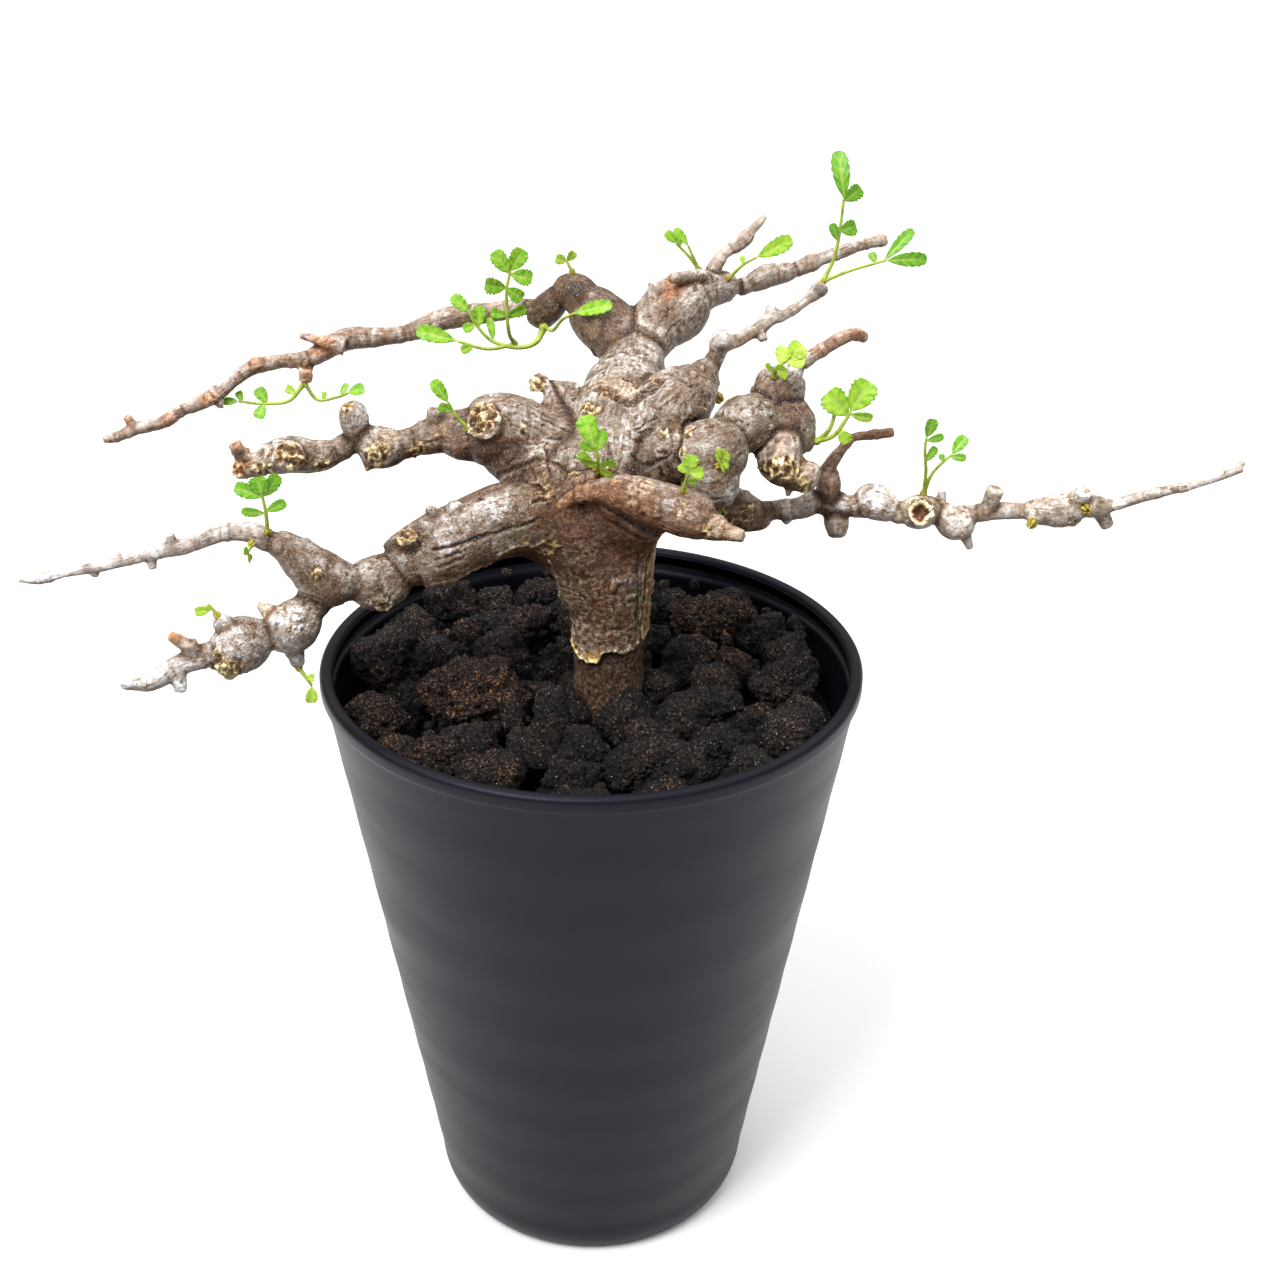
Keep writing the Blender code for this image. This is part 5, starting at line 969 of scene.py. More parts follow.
    points = points + normalsOf(points, quads) * out[:, None]
    core, lip, burnt = np.zeros(len(points)), np.zeros(len(points)), np.zeros(len(points))
    for hole in hollows:
        centre, way, (wide, depth) = np.array(hole[:3]), np.array(hole[3:6]), hole[6:]
        way /= np.linalg.norm(way)
        offset = points - centre
        height = offset @ way
        flat = np.linalg.norm(offset - height[:, None] * way, axis=1) / wide
        flat += 0.26 * noise(1.0, 51) + 0.14 * noise(0.45, 53)
        here = np.abs(height) < 2.4
        dip = np.where(here, smoothStep(0.95, 0.35, flat), 0)
        rim = np.where(here, smoothStep(0.5, 0.95, flat) * smoothStep(1.35, 1.0, flat), 0)
        burnt = np.maximum(burnt, np.where(here, smoothStep(1.1, 1.35, flat) * smoothStep(1.9, 1.5, flat), 0))
        points += (0.30 * rim * (1 + 1.2 * noise(0.6, 52)) - depth * dip)[:, None] * way
        core, lip = np.maximum(core, dip), np.maximum(lip, rim)
    lip = np.maximum(lip, 0.9 * paleEdge)
    marks["dark"] = np.maximum(marks["dark"], 0.9 * burnt)
    points = relaxed(points, edges, 1) * 0.35 + points * 0.65
    report("bark raised and cut")

    x, y, z = points.T
    normals = normalsOf(points, quads)
    # fine and broad curvature; the bark's colour uses them to paint shade in pits and hollows and light on
    # raised grain
    relief, hollow = (np.einsum("ij,ij->i", normals, points - relaxed(points, edges, times)) / high
                      for times, high in ((3, 0.045), (16, 0.20)))
    tint = np.array([limbTint.get(name, (0.1, 0.0, 0.0)) for name in limbStations])[limb]
    warm, light, sand = relaxed(tint, edges, 60).T
    # painted shade: the undersides are made darker and warmer, as shaded from the light above
    shadedUnderside = smoothStep(0.05, -0.85, normals[:, 2])
    light = light - 0.5 * shadedUnderside + 0.2 * smoothStep(-34, -42, x)
    light += 0.12 * smoothStep(20, 14, apart) * smoothStep(163, 168, z)
    angle = trunkAngle(points)
    edge = onTrunk * smoothStep(-52, -38, angle) * smoothStep(120, 60, angle) * smoothStep(160, 150, z)
    return points, quads, {
        "grain": grain, "warm": warm + 0.35 * shadedUnderside, "light": light, "sand": sand,
        "relief": np.clip(relief, -1, 1), "hollow": np.clip(hollow, -1, 1),
        "crease": np.clip(np.maximum(crease, 0.7 * neckShare * (radius > 1.6)), 0, 1),
        "twig": twig, "trunk": trunkShare, "funnel": funnel, "stem": stem, "core": core, "lip": lip,
        "crack": crackMask, "edge": edge, **marks,
    }


def cutSide(points, quads, layers, chosen):
    # the chosen squares as a closed piece: each loop of cut edges is closed by a fan to its middle. The fan
    # has points of its own, so that the bark's shading runs on to the cut
    part = quads[chosen]
    ends = np.concatenate([part[:, [i, (i + 1) % 4]] for i in range(4)])
    one, other = ends[:, 0] * len(points) + ends[:, 1], ends[:, 1] * len(points) + ends[:, 0]
    ends = ends[~np.isin(one, other)]
    loop = np.linalg.norm(points[ends[:, 0], None] - np.array(wood["cuts"])[None], axis=2).argmin(axis=1)
    index, fans, middles = [np.unique(part)], [], {}
    count = len(index[0])
    for i in range(len(wood["cuts"])):
        ring = np.unique(ends[loop == i])
        middle = count + len(ring)
        around = np.searchsorted(ring, ends[loop == i]) + count
        fans.append(np.column_stack([around[:, ::-1], np.full(len(around), middle)]))
        middles[middle] = points[ring].mean(axis=0)
        index += [ring, ring[:1]]
        count = middle + 1
    squares, index = np.searchsorted(index[0], part), np.concatenate(index)
    points = points[index]
    points[list(middles)] = list(middles.values())
    return points, [squares, *fans], {name: values[index] for name, values in layers.items()}


def buildWood(material):
    # grown as two bodies, so that each keeps a fine skin: the crown with its thick limbs, and the runs that
    # leave them. The crown's limbs are then cut off as a piece of their own, inside the left limbs and the
    # rear limb
    outer = {"backLeftTwig", "backRightTip", "backRightTwig", "upperTwig", "beadLimbTwig", "rightLimbBeads",
             "rightLimbTip", "rightLimbTwig", "rightLimbDrop", "leftLowTwig", "leftLowBeads"}
    owner = []  # the limb that each spur stands on
    for spur in spurs + smallSpurs:
        near = {name: min(math.dist(spur[:3], s[:3]) - s[3] for s in smoothStations(stations, 4))
                for name, stations in limbStations.items()}
        owner.append(min(near, key=near.get))
    made = []
    for name, limbs, fillers in (("crownWood", set(limbStations) - outer, saddles), ("outerWood", outer, [])):
        own = [spur for spur, at in zip(spurs + smallSpurs, owner) if at in limbs]
        points, quads, layers = growWood(limbs, own, fillers)
        made.append((points, quads))
        pieces = [(name, points, [quads], layers)]
        if name == "crownWood":
            x, y, _ = points[quads].mean(axis=1).T
            far = (x < wood["cuts"][0][0]) | (y > wood["cuts"][2][1])
            pieces = [(label, *cutSide(points, quads, layers, side))
                      for label, side in ((name, ~far), ("limbWood", far))]
        for label, places, faces, values in pieces:
            makePiece(label, places, faces, [material], ["wood"], values)
            report(f"{label} built, {2 * len(faces[0])} triangles")
    return joined(*zip(*made))


bark = {
    "grey": "#8f8073", "brown": "#755c46", "pale": "#b0a091", "rust": "#704526", "cork": "#a8834f",
    "tan": "#a5876a", "silver": "#d2c8c4", "dark": "#2a1f19", "stem": "#4d3828", "core": "#7a4a20",
    "lip": "#d9bd88", "flap": "#dcb163", "olive": "#776d52", "umber": "#77593a",
    "ridge": "#84542b", "russet": "#9a6238",
    "crumb": "#5a3f26", "cream": "#dcc48f", "seamShade": "#5c4229", "roughness": 0.50,
}


def greyBark():
    # Commiphora bark: thin, tight and dry. Mauve-grey cork cells over brown, specked white and black at half
    # a millimetre, so that it glitters dully where light skims it; the white specks are painted glints, and
    # shade and highlights by form are painted into the colour as well
    made, add, place = startMaterial("greyBark")
    names = ("warm", "light", "relief", "hollow", "crease", "stem", "core", "lip", "crack", "edge",
             "trunk", "funnel", "sand", "twig", *barkMarks)
    layer = {name: add("Attribute", out="Fac", attribute_name=name) for name in names}
    grain = add("Attribute", out="Vector", attribute_name="grain")
    alongLimb = add("Mapping", {"Vector": grain, "Scale": (0.16, 1.1, 1.1)})  # streaks 0.9 mm wide, 6 mm long
    roundLimb = add("Mapping", {"Vector": grain, "Scale": (1.2, 0.2, 0.2)})  # rings 0.8 mm apart
    # noises by the size of what they draw: patches 7 and 4 mm, flakes 2.5 mm, cork grains 0.4 mm, painted
    # glints 0.3 mm
    patch, stain, flake, crumb, skin, speck, glintNoise = (
        add("TexNoise", {"Vector": place, "Scale": scale, "Detail": detail, "Roughness": rough})
        for scale, detail, rough in ((143, 4.0, 0.62), (238, 3.0, 0.6), (385, 4.0, 0.7), (625, 3.0, 0.6),
                                     (1180, 3.0, 0.6), (2380, 2.0, 0.75), (3300, 1.0, 0.5)))
    streak, ring = (add("TexNoise", {"Vector": vector, "Scale": 1.0, "Detail": 3.0, "Roughness": 0.65})
                    for vector in (alongLimb, roundLimb))
    pore = add("TexVoronoi", {"Vector": place, "Scale": 450.0})  # breathing pores 2.2 mm apart

    tone = add("Math", [layer["light"], 0.16, patch], operation="MULTIPLY_ADD")
    colour = add("ValToRGB", [tone],
                 stops=[(0.34, bark["brown"]), (0.50, bark["grey"]), (0.66, bark["pale"])])
    warmth = add("Math", [stain, 1.1, layer["warm"]], operation="MULTIPLY_ADD")
    # painted shade: the colour turns dark brown in the hollows
    hollowShade = add("MapRange", [layer["hollow"], -0.15, -0.9, 0.0, 0.75])
    colour = add("Mix", {0: hollowShade, 6: colour, 7: bark["seamShade"]}, out=2, data_type="RGBA")
    # ochre cork shows in bits of a crease only, where the flakes are
    bits = add("MapRange", [flake, 0.50, 0.60])
    bits = add("Math", [layer["crease"], bits], operation="MULTIPLY")
    # broken cork is cream and ochre crumbs with brown between them
    corkCrumbs = add("ValToRGB", [skin],
                     stops=[(0.40, bark["crumb"]), (0.50, bark["cork"]), (0.60, bark["cream"])])
    layer.update(warmth=warmth, flake=flake, bits=bits)
    # each layer: what shows it, how strong, its colour, what breaks it up, and the range over which it comes
    # in
    # of these, funnel paints the shadow under the front limb's crest red-brown, warmth carries a painted warm
    # shade on the undersides, crease and pale are partly painted shade and painted highlight, and dark is
    # partly painted shade
    for name, strength, fill, broken, low, high in (
            ("trunk", 0.92, "umber", skin, 0.0, 1.0), ("ridge", 0.85, "ridge", None, 0.0, 1.0),
            ("funnel", 0.55, "rust", skin, 0.0, 1.0), ("warmth", 0.72, "rust", None, 0.72, 1.25),
            ("flake", 0.50, "tan", None, 0.60, 0.74), ("sand", 0.75, "tan", crumb, 0.0, 1.0),
            ("olive", 0.60, "olive", flake, 0.0, 1.0), ("tan", 0.85, "tan", speck, 0.0, 1.0),
            ("pale", 0.55, "silver", crumb, 0.0, 1.0), ("rust", 0.80, "rust", speck, 0.0, 1.0),
            ("cork", 0.95, "crumbs", None, 0.0, 1.0), ("russet", 0.90, "russet", crumb, 0.0, 1.0),
            ("dark", 0.70, "dark", speck, 0.0, 1.0), ("edge", 0.75, "cork", streak, 0.0, 1.0),
            ("crease", 0.75, "seamShade", None, 0.0, 1.0), ("bits", 0.55, "cork", crumb, 0.0, 1.0),
            ("stem", 0.92, "stem", None, 0.0, 1.0), ("core", 1.00, "core", None, 0.0, 1.0),
            ("flap", 1.00, "flap", crumb, 0.0, 1.0), ("lip", 0.95, "lip", speck, 0.0, 1.0)):
        share = add("MapRange", [layer[name], low, high, 0.0, strength])
        if broken:
            breaks = add("MapRange", [broken, 0.36, 0.58, 0.35])
            share = add("Math", [share, breaks], operation="MULTIPLY")
        tint = corkCrumbs if fill == "crumbs" else bark[fill]
        colour = add("Mix", {0: share, 6: colour, 7: tint}, out=2, data_type="RGBA")
    # the trunk's bark is smooth, so its streaks are faint
    calm = add("Math", [layer["trunk"], 0.7], operation="MULTIPLY")
    streak = add("Mix", {0: calm, 2: streak, 3: 0.5})
    # coarser on the trunk, where nothing else marks it
    grit = add("Mix", {0: layer["trunk"], 2: 0.5, 3: skin})
    calm = add("Math", [layer["sand"], layer["twig"]], operation="MAXIMUM")
    calm = add("Math", [calm, 0.65], operation="MULTIPLY")
    speck = add("Mix", {0: calm, 2: speck, 3: 0.5})
    # the light and dark of the grain, with shade and light painted by form: each source over its range makes
    # the colour so much darker or lighter. Relief and hollow paint shade in pits and hollows and light on
    # raised grain, crease paints shade in forks and necks, shade is a painted shadow under the limbs, funnel
    # a painted shadow under the front limb's crest, and light carries each limb's tone and the painted shade
    # of its undersides
    shade = 1.0
    for source, low, high, least, most in (
            (speck, 0.30, 0.70, 0.34, 1.76), (crumb, 0.30, 0.70, 0.66, 1.36),
            (streak, 0.32, 0.68, 0.66, 1.32),
            (ring, 0.35, 0.65, 0.88, 1.12), (stain, 0.30, 0.70, 0.66, 1.32), (patch, 0.30, 0.70, 0.74, 1.26),
            (grit, 0.42, 0.58, 1.50, 0.50), (layer["shade"], 0.0, 1.0, 1.0, 0.30),
            (layer["relief"], -0.8, 0.8, 0.48, 1.55), (layer["hollow"], -0.9, 0.9, 0.38, 1.50),
            (layer["crease"], 0.0, 1.0, 1.0, 0.45), (layer["crack"], 0.0, 1.0, 1.0, 0.14),
            (layer["funnel"], 0.0, 1.0, 1.0, 0.66), (layer["light"], -1.5, 1.5, 0.43, 1.57),
            (pore, 0.06, 0.14, 0.50, 1.0)):
        part = add("MapRange", [source, low, high, least, most])
        shade = add("Math", [shade, part], operation="MULTIPLY")
    # fine dark cracks: where a noise drawn out along the limb crosses its middle value, in some patches only
    for vector, width, seed in ((alongLimb, 0.026, 0.0), (roundLimb, 0.016, 5.0)):
        line = add("TexNoise", {"Vector": vector, "W": seed, "Scale": 0.55, "Detail": 2.0, "Roughness": 0.5},
                   noise_dimensions="4D")
        line = add("Math", [line, 0.5], operation="SUBTRACT")
        line = add("Math", [line], operation="ABSOLUTE")
        line = add("MapRange", [line, 0.0, width, 1.0, 0.0])
        where = add("MapRange", [stain, 0.42, 0.56, 0.0, 0.80])
        line = add("Math", [line, where], operation="MULTIPLY")
        line = add("Math", [1.0, line], operation="SUBTRACT")
        shade = add("Math", [shade, line], operation="MULTIPLY")
    # what is dark is brown and what is light is grey: red is changed less than green by the shade, and blue
    # more
    darker, lighter = (add("Math", [shade, 1.0], operation=side) for side in ("MINIMUM", "MAXIMUM"))
    redPart, bluePart = (
        add("Math", [add("Math", [darker, low], operation="POWER"),
                     add("Math", [lighter, high], operation="POWER")], operation="MULTIPLY")
        for low, high in ((0.70, 0.80), (1.40, 1.22)))
    shade = add("CombineColor", [redPart, shade, bluePart])
    colour = add("Mix", {0: 1.0, 6: colour, 7: shade}, out=2, data_type="RGBA", blend_type="MULTIPLY")
    # painted glints: tiny silver specks put in the colour, fewest on the ridge, the twigs, the sandy bark and
    # the trunk
    few = add("Math", [layer["ridge"], layer["twig"]], operation="MAXIMUM")
    few = add("Math", [few, layer["sand"]], operation="MAXIMUM")
    few = add("Math", [layer["trunk"], 0.5, few], operation="MULTIPLY_ADD")
    most = add("MapRange", [few, 0.0, 1.0, 0.60, 0.10])
    glintSpecks = add("MapRange", [glintNoise, 0.63, 0.70, 0.0, most])
    colour = add("Mix", {0: glintSpecks, 6: colour, 7: bark["silver"]}, out=2, data_type="RGBA")

    gloss = add("MapRange", [speck, 0.3, 0.7, bark["roughness"] + 0.12, bark["roughness"] - 0.16])
    height = 0.0
    for source, strength in ((speck, 0.55), (skin, 0.80), (streak, 0.50)):
        height = add("Math", [source, strength, height], operation="MULTIPLY_ADD")
    dimple = add("MapRange", [pore, 0.05, 0.25, -0.25, 0.0])
    height = add("Math", [height, dimple])
    bump = add("Bump", {"Height": height, "Strength": 1.0, "Distance": 0.00040})
    return finishMaterial(made, {"Base Color": colour, "Roughness": gloss, "Normal": bump, "IOR": 1.46})


# The shoots: young compound leaves of Commiphora, each leaflet widest past its middle and toothed round its
# tip
frontUp = (0.1, -0.85, 0.5)


def shootParts(text):
    # a shoot's leaves, parted by bars: the stalk's points, then the leaflets as share of the stalk, side,
    # length, width and angle from the stalk, then the way the blade faces where it isn't frontUp
    leaves = [[*map(table, part.split("/")), [frontUp]] for part in text.split("|")]
    return [(line, facing[0], leaflets) for line, leaflets, facing, *_ in leaves]


shootLeaves = {name: shootParts(rows) for name, rows in labelled("""
shoot_back_left:
-10 52.2 175.4; -12 51 173; -16 50.6 172; -21 50.4 173.4; -24 50.3 176.6; -25.6 50.2 179.6 /
0.62 -1 5 1.5 56; 0.82 -1 4.4 2.4 40; 0.86 1 2.8 1.7 72; 1 0 4.6 2.3 14 |
-16 50.6 172; -17.5 48.9 176; -17.8 48.7 184; -16.9 48.7 188.6 /
0.46 1 3.4 1.8 72; 0.46 -1 4.2 2.2 72; 0.8 1 4.4 3.2 88; 0.8 -1 3.8 2.8 112; 0.97 1 5.4 2.8 46;
0.97 -1 4.6 2.8 88; 1 0 5.2 3 -18 |
-16 50.6 172; -22 49 172.2; -28 48.4 174 /
0.72 1 3 1.6 34; 1 0 8.6 2.8 0 |
-10 52.2 175.4; -8.5 48.4 176.4; -6.4 45.6 179.6; -4 43.8 181.4 /
1 0 8.6 2.4 -6

shoot_back_knob:
-4 52.6 186; -5 52.4 187.6 /
1 1 2.6 1.8 45; 1 -1 2.4 1.8 60

shoot_left_middle:
-22.3 3.5 171.5; -23.4 3 174; -25 2.6 177.2 /
0.72 1 3.2 1.6 36; 1 0 4.8 2 4

shoot_crown_front:
0.4 -4.7 165.4; 0.3 -7.2 167.9; 0 -8 170; -0.5 -8 171.8 /
0.2 1 4.4 3.3 60; 0.26 -1 3.6 2.6 64; 0.48 -1 3.4 2.2 56; 0.54 1 3.2 1.9 66; 0.82 -1 4.2 1.9 30;
0.84 1 3.2 1.7 44; 1 0 5.2 3.2 4 / -0.1 -0.85 0.5

shoot_front_limb:
16 -16.5 166.7; 16.4 -17.8 169; 16.9 -18.2 170.6 /
0.5 -1 2 1.5 60; 0.9 -1 2.6 1.9 60; 0.9 1 2.2 1.6 66; 1 0 3 2.2 14

shoot_bead:
22.6 -6.5 168; 23 -8.2 170 /
0.4 1 1.8 1.5 70; 0.5 -1 1.8 1.5 76; 0.9 1 2.2 1.7 52; 0.9 -1 2.2 1.7 50; 1 0 2.6 2 0 / -0.3 -0.8 0.45

shoot_curled_bud:
34 12 178.6; 34.6 10.8 180.4; 36.4 10.4 182 /
0.2 1 2.4 2 60; 0.45 -1 3.2 2.6 46; 0.7 1 3.4 2.8 40; 0.95 -1 3.6 2.8 30; 1 0 3.8 3.2 10 / -0.3 -0.75 0.55

shoot_bead_tip:
42.6 10 166.3; 44 9.2 169; 45 9 172.8 /
1 0 3 1.6 4 |
42.6 10 166.3; 44.8 8.4 168.2; 46.8 8 171.4; 47.6 7.9 173.2 /
0.6 -1 3 2.2 112; 0.95 -1 4.4 1.7 74; 0.9 1 5.8 4.2 66; 1 0 6.6 4.2 -4

shoot_twig_tip:
44.4 29 191.8; 45.9 29.4 196; 46.6 29.4 202; 46.9 29.4 207 /
0.5 1 3.8 1.5 30; 0.62 -1 3.2 2.6 66; 0.97 -1 4 2.6 48; 1 0 8.2 2.8 12 |
44.4 29 191.8; 48.4 29.2 193; 53 28.8 194.6; 55.6 28.6 195.4 /
0.84 1 2.2 1.4 98; 0.97 1 8.2 1.9 34; 1 0 7.8 2.3 -13

shoot_fork_left:
22 50.2 187.2; 20 49.6 189.6; 17.6 49.4 192 /
0.84 -1 2.8 1.4 40; 1 0 3.2 1.6 -4 |
22 50.2 187.2; 20.6 49 190.4; 20 48.8 191.8 /
1 0 4.4 1.6 12

shoot_fork_right:
27.8 51.2 185.7; 30 50 188.4; 32.6 49.8 190 /
0.6 1 1.8 1 60; 1 0 7.8 2.8 -2

shoot_right_limb:
64.3 11.8 154.2; 64 9.6 159; 63.4 9.2 163; 63.4 9.2 166 /
0.62 -1 3.4 1.5 44; 0.95 -1 3.4 1.4 72; 1 0 3.8 2.2 -16 |
64.3 11.8 154.2; 65.2 9.6 158.4; 67.4 9.2 161.4; 68.6 9.2 162.6 /
0.8 1 1.6 1 60; 0.94 -1 3.2 1.3 44; 1 0 4.2 2 14

shoot_left_twig:
-57.8 -15 158.5; -58.1 -15.6 162; -58.4 -15.8 165.2 /
0.56 1 4.2 1.5 76; 0.6 -1 4.2 1.7 64; 0.97 1 5 2.2 56; 0.98 -1 4.8 2.3 44; 1 0 3.6 2.9 4

shoot_under_left_twig:
-60.4 -15.6 156.9; -60.8 -16.4 155.9 /
1 1 2.2 1.3 84; 1 -1 2.2 1.3 78 / 0.1 -0.8 -0.5

shoot_low_bead:
-66 -22.9 145.5; -66.3 -23.2 146.5 /
1 0 3 1.5 66; 0.8 1 1.5 1 20

shoot_bead_foot:
-53.7 -18.6 133.4; -52.5 -19.3 132.4; -51.6 -19.6 131 /
0.55 1 1.6 1.2 50; 1 0 3.2 1.9 -36 / 0.3 -0.9 0.2

shoot_back_low:
-60.3 51.9 162.8; -63.6 51.4 160; -69 51.2 159.4; -74 51 160 /
0.18 -1 2.6 1.6 80; 0.62 -1 3.8 2.2 58; 0.66 1 3.4 2.2 70; 0.95 -1 2.4 1.4 60; 1 0 3.2 1.6 8 |
-60.3 51.9 162.8; -57.6 51.2 160.4; -53.4 51 161; -51 50.8 162 /
0.5 1 1.8 0.9 76; 0.84 1 3 1.2 46; 1 0 3.8 2.2 -4
""")}
leaf = {
    "rise": 1.1, "steps": 10, "stalkRadius": (0.46, 0.30), "stalkSides": 10,
    "rows": 41, "halfColumns": 6, "thickness": 0.26, "fold": 0.20, "arch": 0.020, "teeth": 4,
    "toothDepth": 0.20,
    "broaden": 1.28, "budScales": 5, "budSize": 0.56,
}
# shoots that depart from the common bright green: fresher and yellower above 0, darker below; and stalk width
shootTone = {
    "shoot_back_left": (0.15, 1.0), "shoot_twig_tip": (-0.25, 0.9), "shoot_curled_bud": (0.9, 1.1),
    "shoot_left_twig": (-0.1, 0.9), "shoot_right_limb": (-0.05, 0.9), "shoot_crown_front": (0.2, 0.9),
    "shoot_bead_tip": (0.3, 1.15), "shoot_bead_foot": (0.7, 1.0), "shoot_bead": (0.45, 0.9),
    "shoot_front_limb": (0.4, 0.9), "shoot_low_bead": (0.6, 0.9), "shoot_left_middle": (0.1, 0.9),
    "shoot_fork_left": (0.1, 0.8), "shoot_fork_right": (0.3, 0.9), "shoot_back_knob": (0.3, 0.9),
}
thickStalk = {"shoot_back_left": 0}  # the leaf whose stalk is an olive shoot of its own


def leafletSurface(length, width, seed):
    # A closed blade. Along it t runs from root to tip, round it k runs over the top from edge to edge and
    # back underneath. Its half width is an egg shape, widest at two thirds, cut into round teeth by sharp
    # notches; the blade folds up from its rib, bows down to its tip and thins to its edges.
    rows, half = leaf["rows"], leaf["halfColumns"]
    t = np.linspace(0, 1, rows)[:, None]
    turn = np.linspace(0, 2 * math.pi, 4 * half, endpoint=False)[None]
    across, over = np.cos(turn), np.sign(np.sin(turn))
    draw = np.random.default_rng(seed)
    widest = 0.64
    outline = np.where(t < widest, np.sin(math.pi / 2 * t / widest) ** 1.15,
                       np.sqrt(np.clip(1 - ((t - widest) / (1 - widest)) ** 2.5, 0, 1)))
    teeth = leaf["teeth"] if length > 3.2 else 3
    phase = (t - 0.40) / 0.60 * teeth + draw.uniform(-0.12, 0.12)
    notch = 1 - leaf["toothDepth"] * (1 - np.abs(np.sin(math.pi * phase))) ** 1.6 * smoothStep(0.34, 0.50, t)
    width = width * leaf["broaden"]
    halfWidth = 0.5 * width * np.clip(outline * notch, 0.02, None)
    x = t * length + 0 * across
    y = across * halfWidth
    lean = halfWidth * 0.22 * np.abs(across) * smoothStep(0.2, 0.6, t)  # teeth point forward
    x = x + lean - 0.02 * length * (1 - t)
    side = np.abs(across)
    fold = leaf["fold"] * np.abs(y) ** 1.2
    bow = -leaf["arch"] * 2.0 * x**2 + draw.uniform(-0.02, 0.03) * x**2
    crinkle = 0.07 * np.sin(t * teeth * math.pi * 2 + 1.5) * side * min(1.0, width / 3)
    thin = (leaf["thickness"] / 2 * np.sqrt(np.clip(1 - side**3, 0, 1))
            * smoothStep(-0.03, 0.08, t) * smoothStep(1.03, 0.9, t))
    z = fold + bow + crinkle + over * thin
    spacing = (t - 0.42 * side * width / length) * (teeth + 1)
    vein = (np.exp(-(((spacing + 0.5) % 1 - 0.5) / 0.13) ** 2)
            * smoothStep(0.98, 0.7, side) * smoothStep(0.02, 0.2, side))
    rib = np.exp(-(y / 0.17) ** 2) * smoothStep(1.0, 0.6, t)
    points = np.stack([x, y, z], -1).reshape(-1, 3)
    faces = gridFaces(rows, 4 * half)
    ends = np.array([points[: 4 * half].mean(axis=0), points[-4 * half :].mean(axis=0)])
    column = np.arange(4 * half)
    after, last, extra = (column + 1) % (4 * half), (rows - 1) * 4 * half, len(points)
    caps = np.vstack([fan(after, column, extra), fan(last + column, last + after, extra + 1)])
    edge = smoothStep(0.62, 1.0, side + 0 * t) * smoothStep(0.2, 0.5, t)
    veins = np.append(np.maximum(0.7 * vein, rib).ravel(), [0, 0])
    return np.vstack([points, ends]), faces, caps, veins, np.append(edge.ravel(), [0, 0])


def roundPart(rings, sides, kind):
    # a tube as a part of a shoot, without veins or a leaf's edge
    points, quads, fans = tube(rings, sides)
    return points, quads, fans, np.zeros(len(points)), np.zeros(len(points)), kind


def compoundLeaf(line, facing, leaflets, seed, stalkScale, olive):
    # the stalk is a tapering tube along its line; each leaflet is set at its share of it and turned by its
    # angle
    route = smoothStations(line, leaf["steps"])
    reach = np.concatenate([[0], np.cumsum(np.linalg.norm(np.diff(route, axis=0), axis=1))])
    along = unit(np.gradient(route, reach, axis=0))
    across = unit(np.cross(facing, along))
    out = np.cross(along, across)
    share = reach / reach[-1]
    footRadius, tipRadius = leaf["stalkRadius"]
    thick = (footRadius + share * (tipRadius - footRadius)) * stalkScale
    thick = thick * (1 + 0.5 * np.exp(-(share / 0.07) ** 2)) * (1.45 - 0.5 * share if olive else 1)
    parts = [roundPart(np.column_stack([route, thick]), leaf["stalkSides"], 1)]
    for i, (place, side, length, width, angle) in enumerate(leaflets):
        draw = np.random.default_rng(seed * 31 + i)
        blade, faces, caps, veins, edge = leafletSurface(length, width, seed * 57 + i)
        at = place * reach[-1]
        spot, ahead, wide, up = (np.array([np.interp(at, reach, rows[:, c]) for c in range(3)])
                                 for rows in (route, along, across, out))
        turn = math.radians(angle) * (side if side else 1)
        forward = ahead * math.cos(turn) + wide * math.sin(turn)
        sideways = wide * math.cos(turn) - ahead * math.sin(turn)
        tilt = math.radians(draw.uniform(-16, 16))
        lift = math.radians(draw.uniform(-4, 14) if side else 0)
        sideways, normal = (sideways * math.cos(tilt) + up * math.sin(tilt),
                            up * math.cos(tilt) - sideways * math.sin(tilt))
        forward, normal = (forward * math.cos(lift) + normal * math.sin(lift),
                           normal * math.cos(lift) - forward * math.sin(lift))
        root = spot + 0.1 * up
        parts.append((root + blade @ np.array([forward, sideways, normal]), faces, caps, veins, edge, 0))
    return parts


def budParts(foot, out, size):
    # scales that close round a bud, each a short bent tube
    parts = []
    aside = np.cross(out, (0.3, 0.9, 0.2))
    aside /= np.linalg.norm(aside)
    for i in range(leaf["budScales"]):
        turn = 2 * math.pi * (i + 0.3) / leaf["budScales"]
        way = aside * math.cos(turn) + np.cross(out, aside) * math.sin(turn)
        run = foot + size * np.array([-0.7 * out + 0.55 * way, 0.5 * out + 0.85 * way, 1.3 * out + 0.75 * way,
                                      1.95 * out + 0.45 * way])
        rings = smoothStations(np.column_stack([run, size * np.array([0.42, 0.50, 0.36, 0.10])]), 4)
        parts.append(roundPart(rings, 8, 2))
    return parts


def growBuds(woodTree, materials):
    # buds that haven't opened, straight out of the bark
    parts = []
    for place in ((23.7, 17.2, 172.7), (24.6, 9.6, 151.9), (84.8, 6.5, 151.5), (93.7, 3.9, 155.2)):
        foot, out, *_ = woodTree.find_nearest(Vector(place) * mm)
        parts += budParts(np.array(foot) / mm, np.array(out), 0.85)
    joinLeaves("closedBuds", parts, np.array(parts[0][0][0]), 0.6, materials, [])


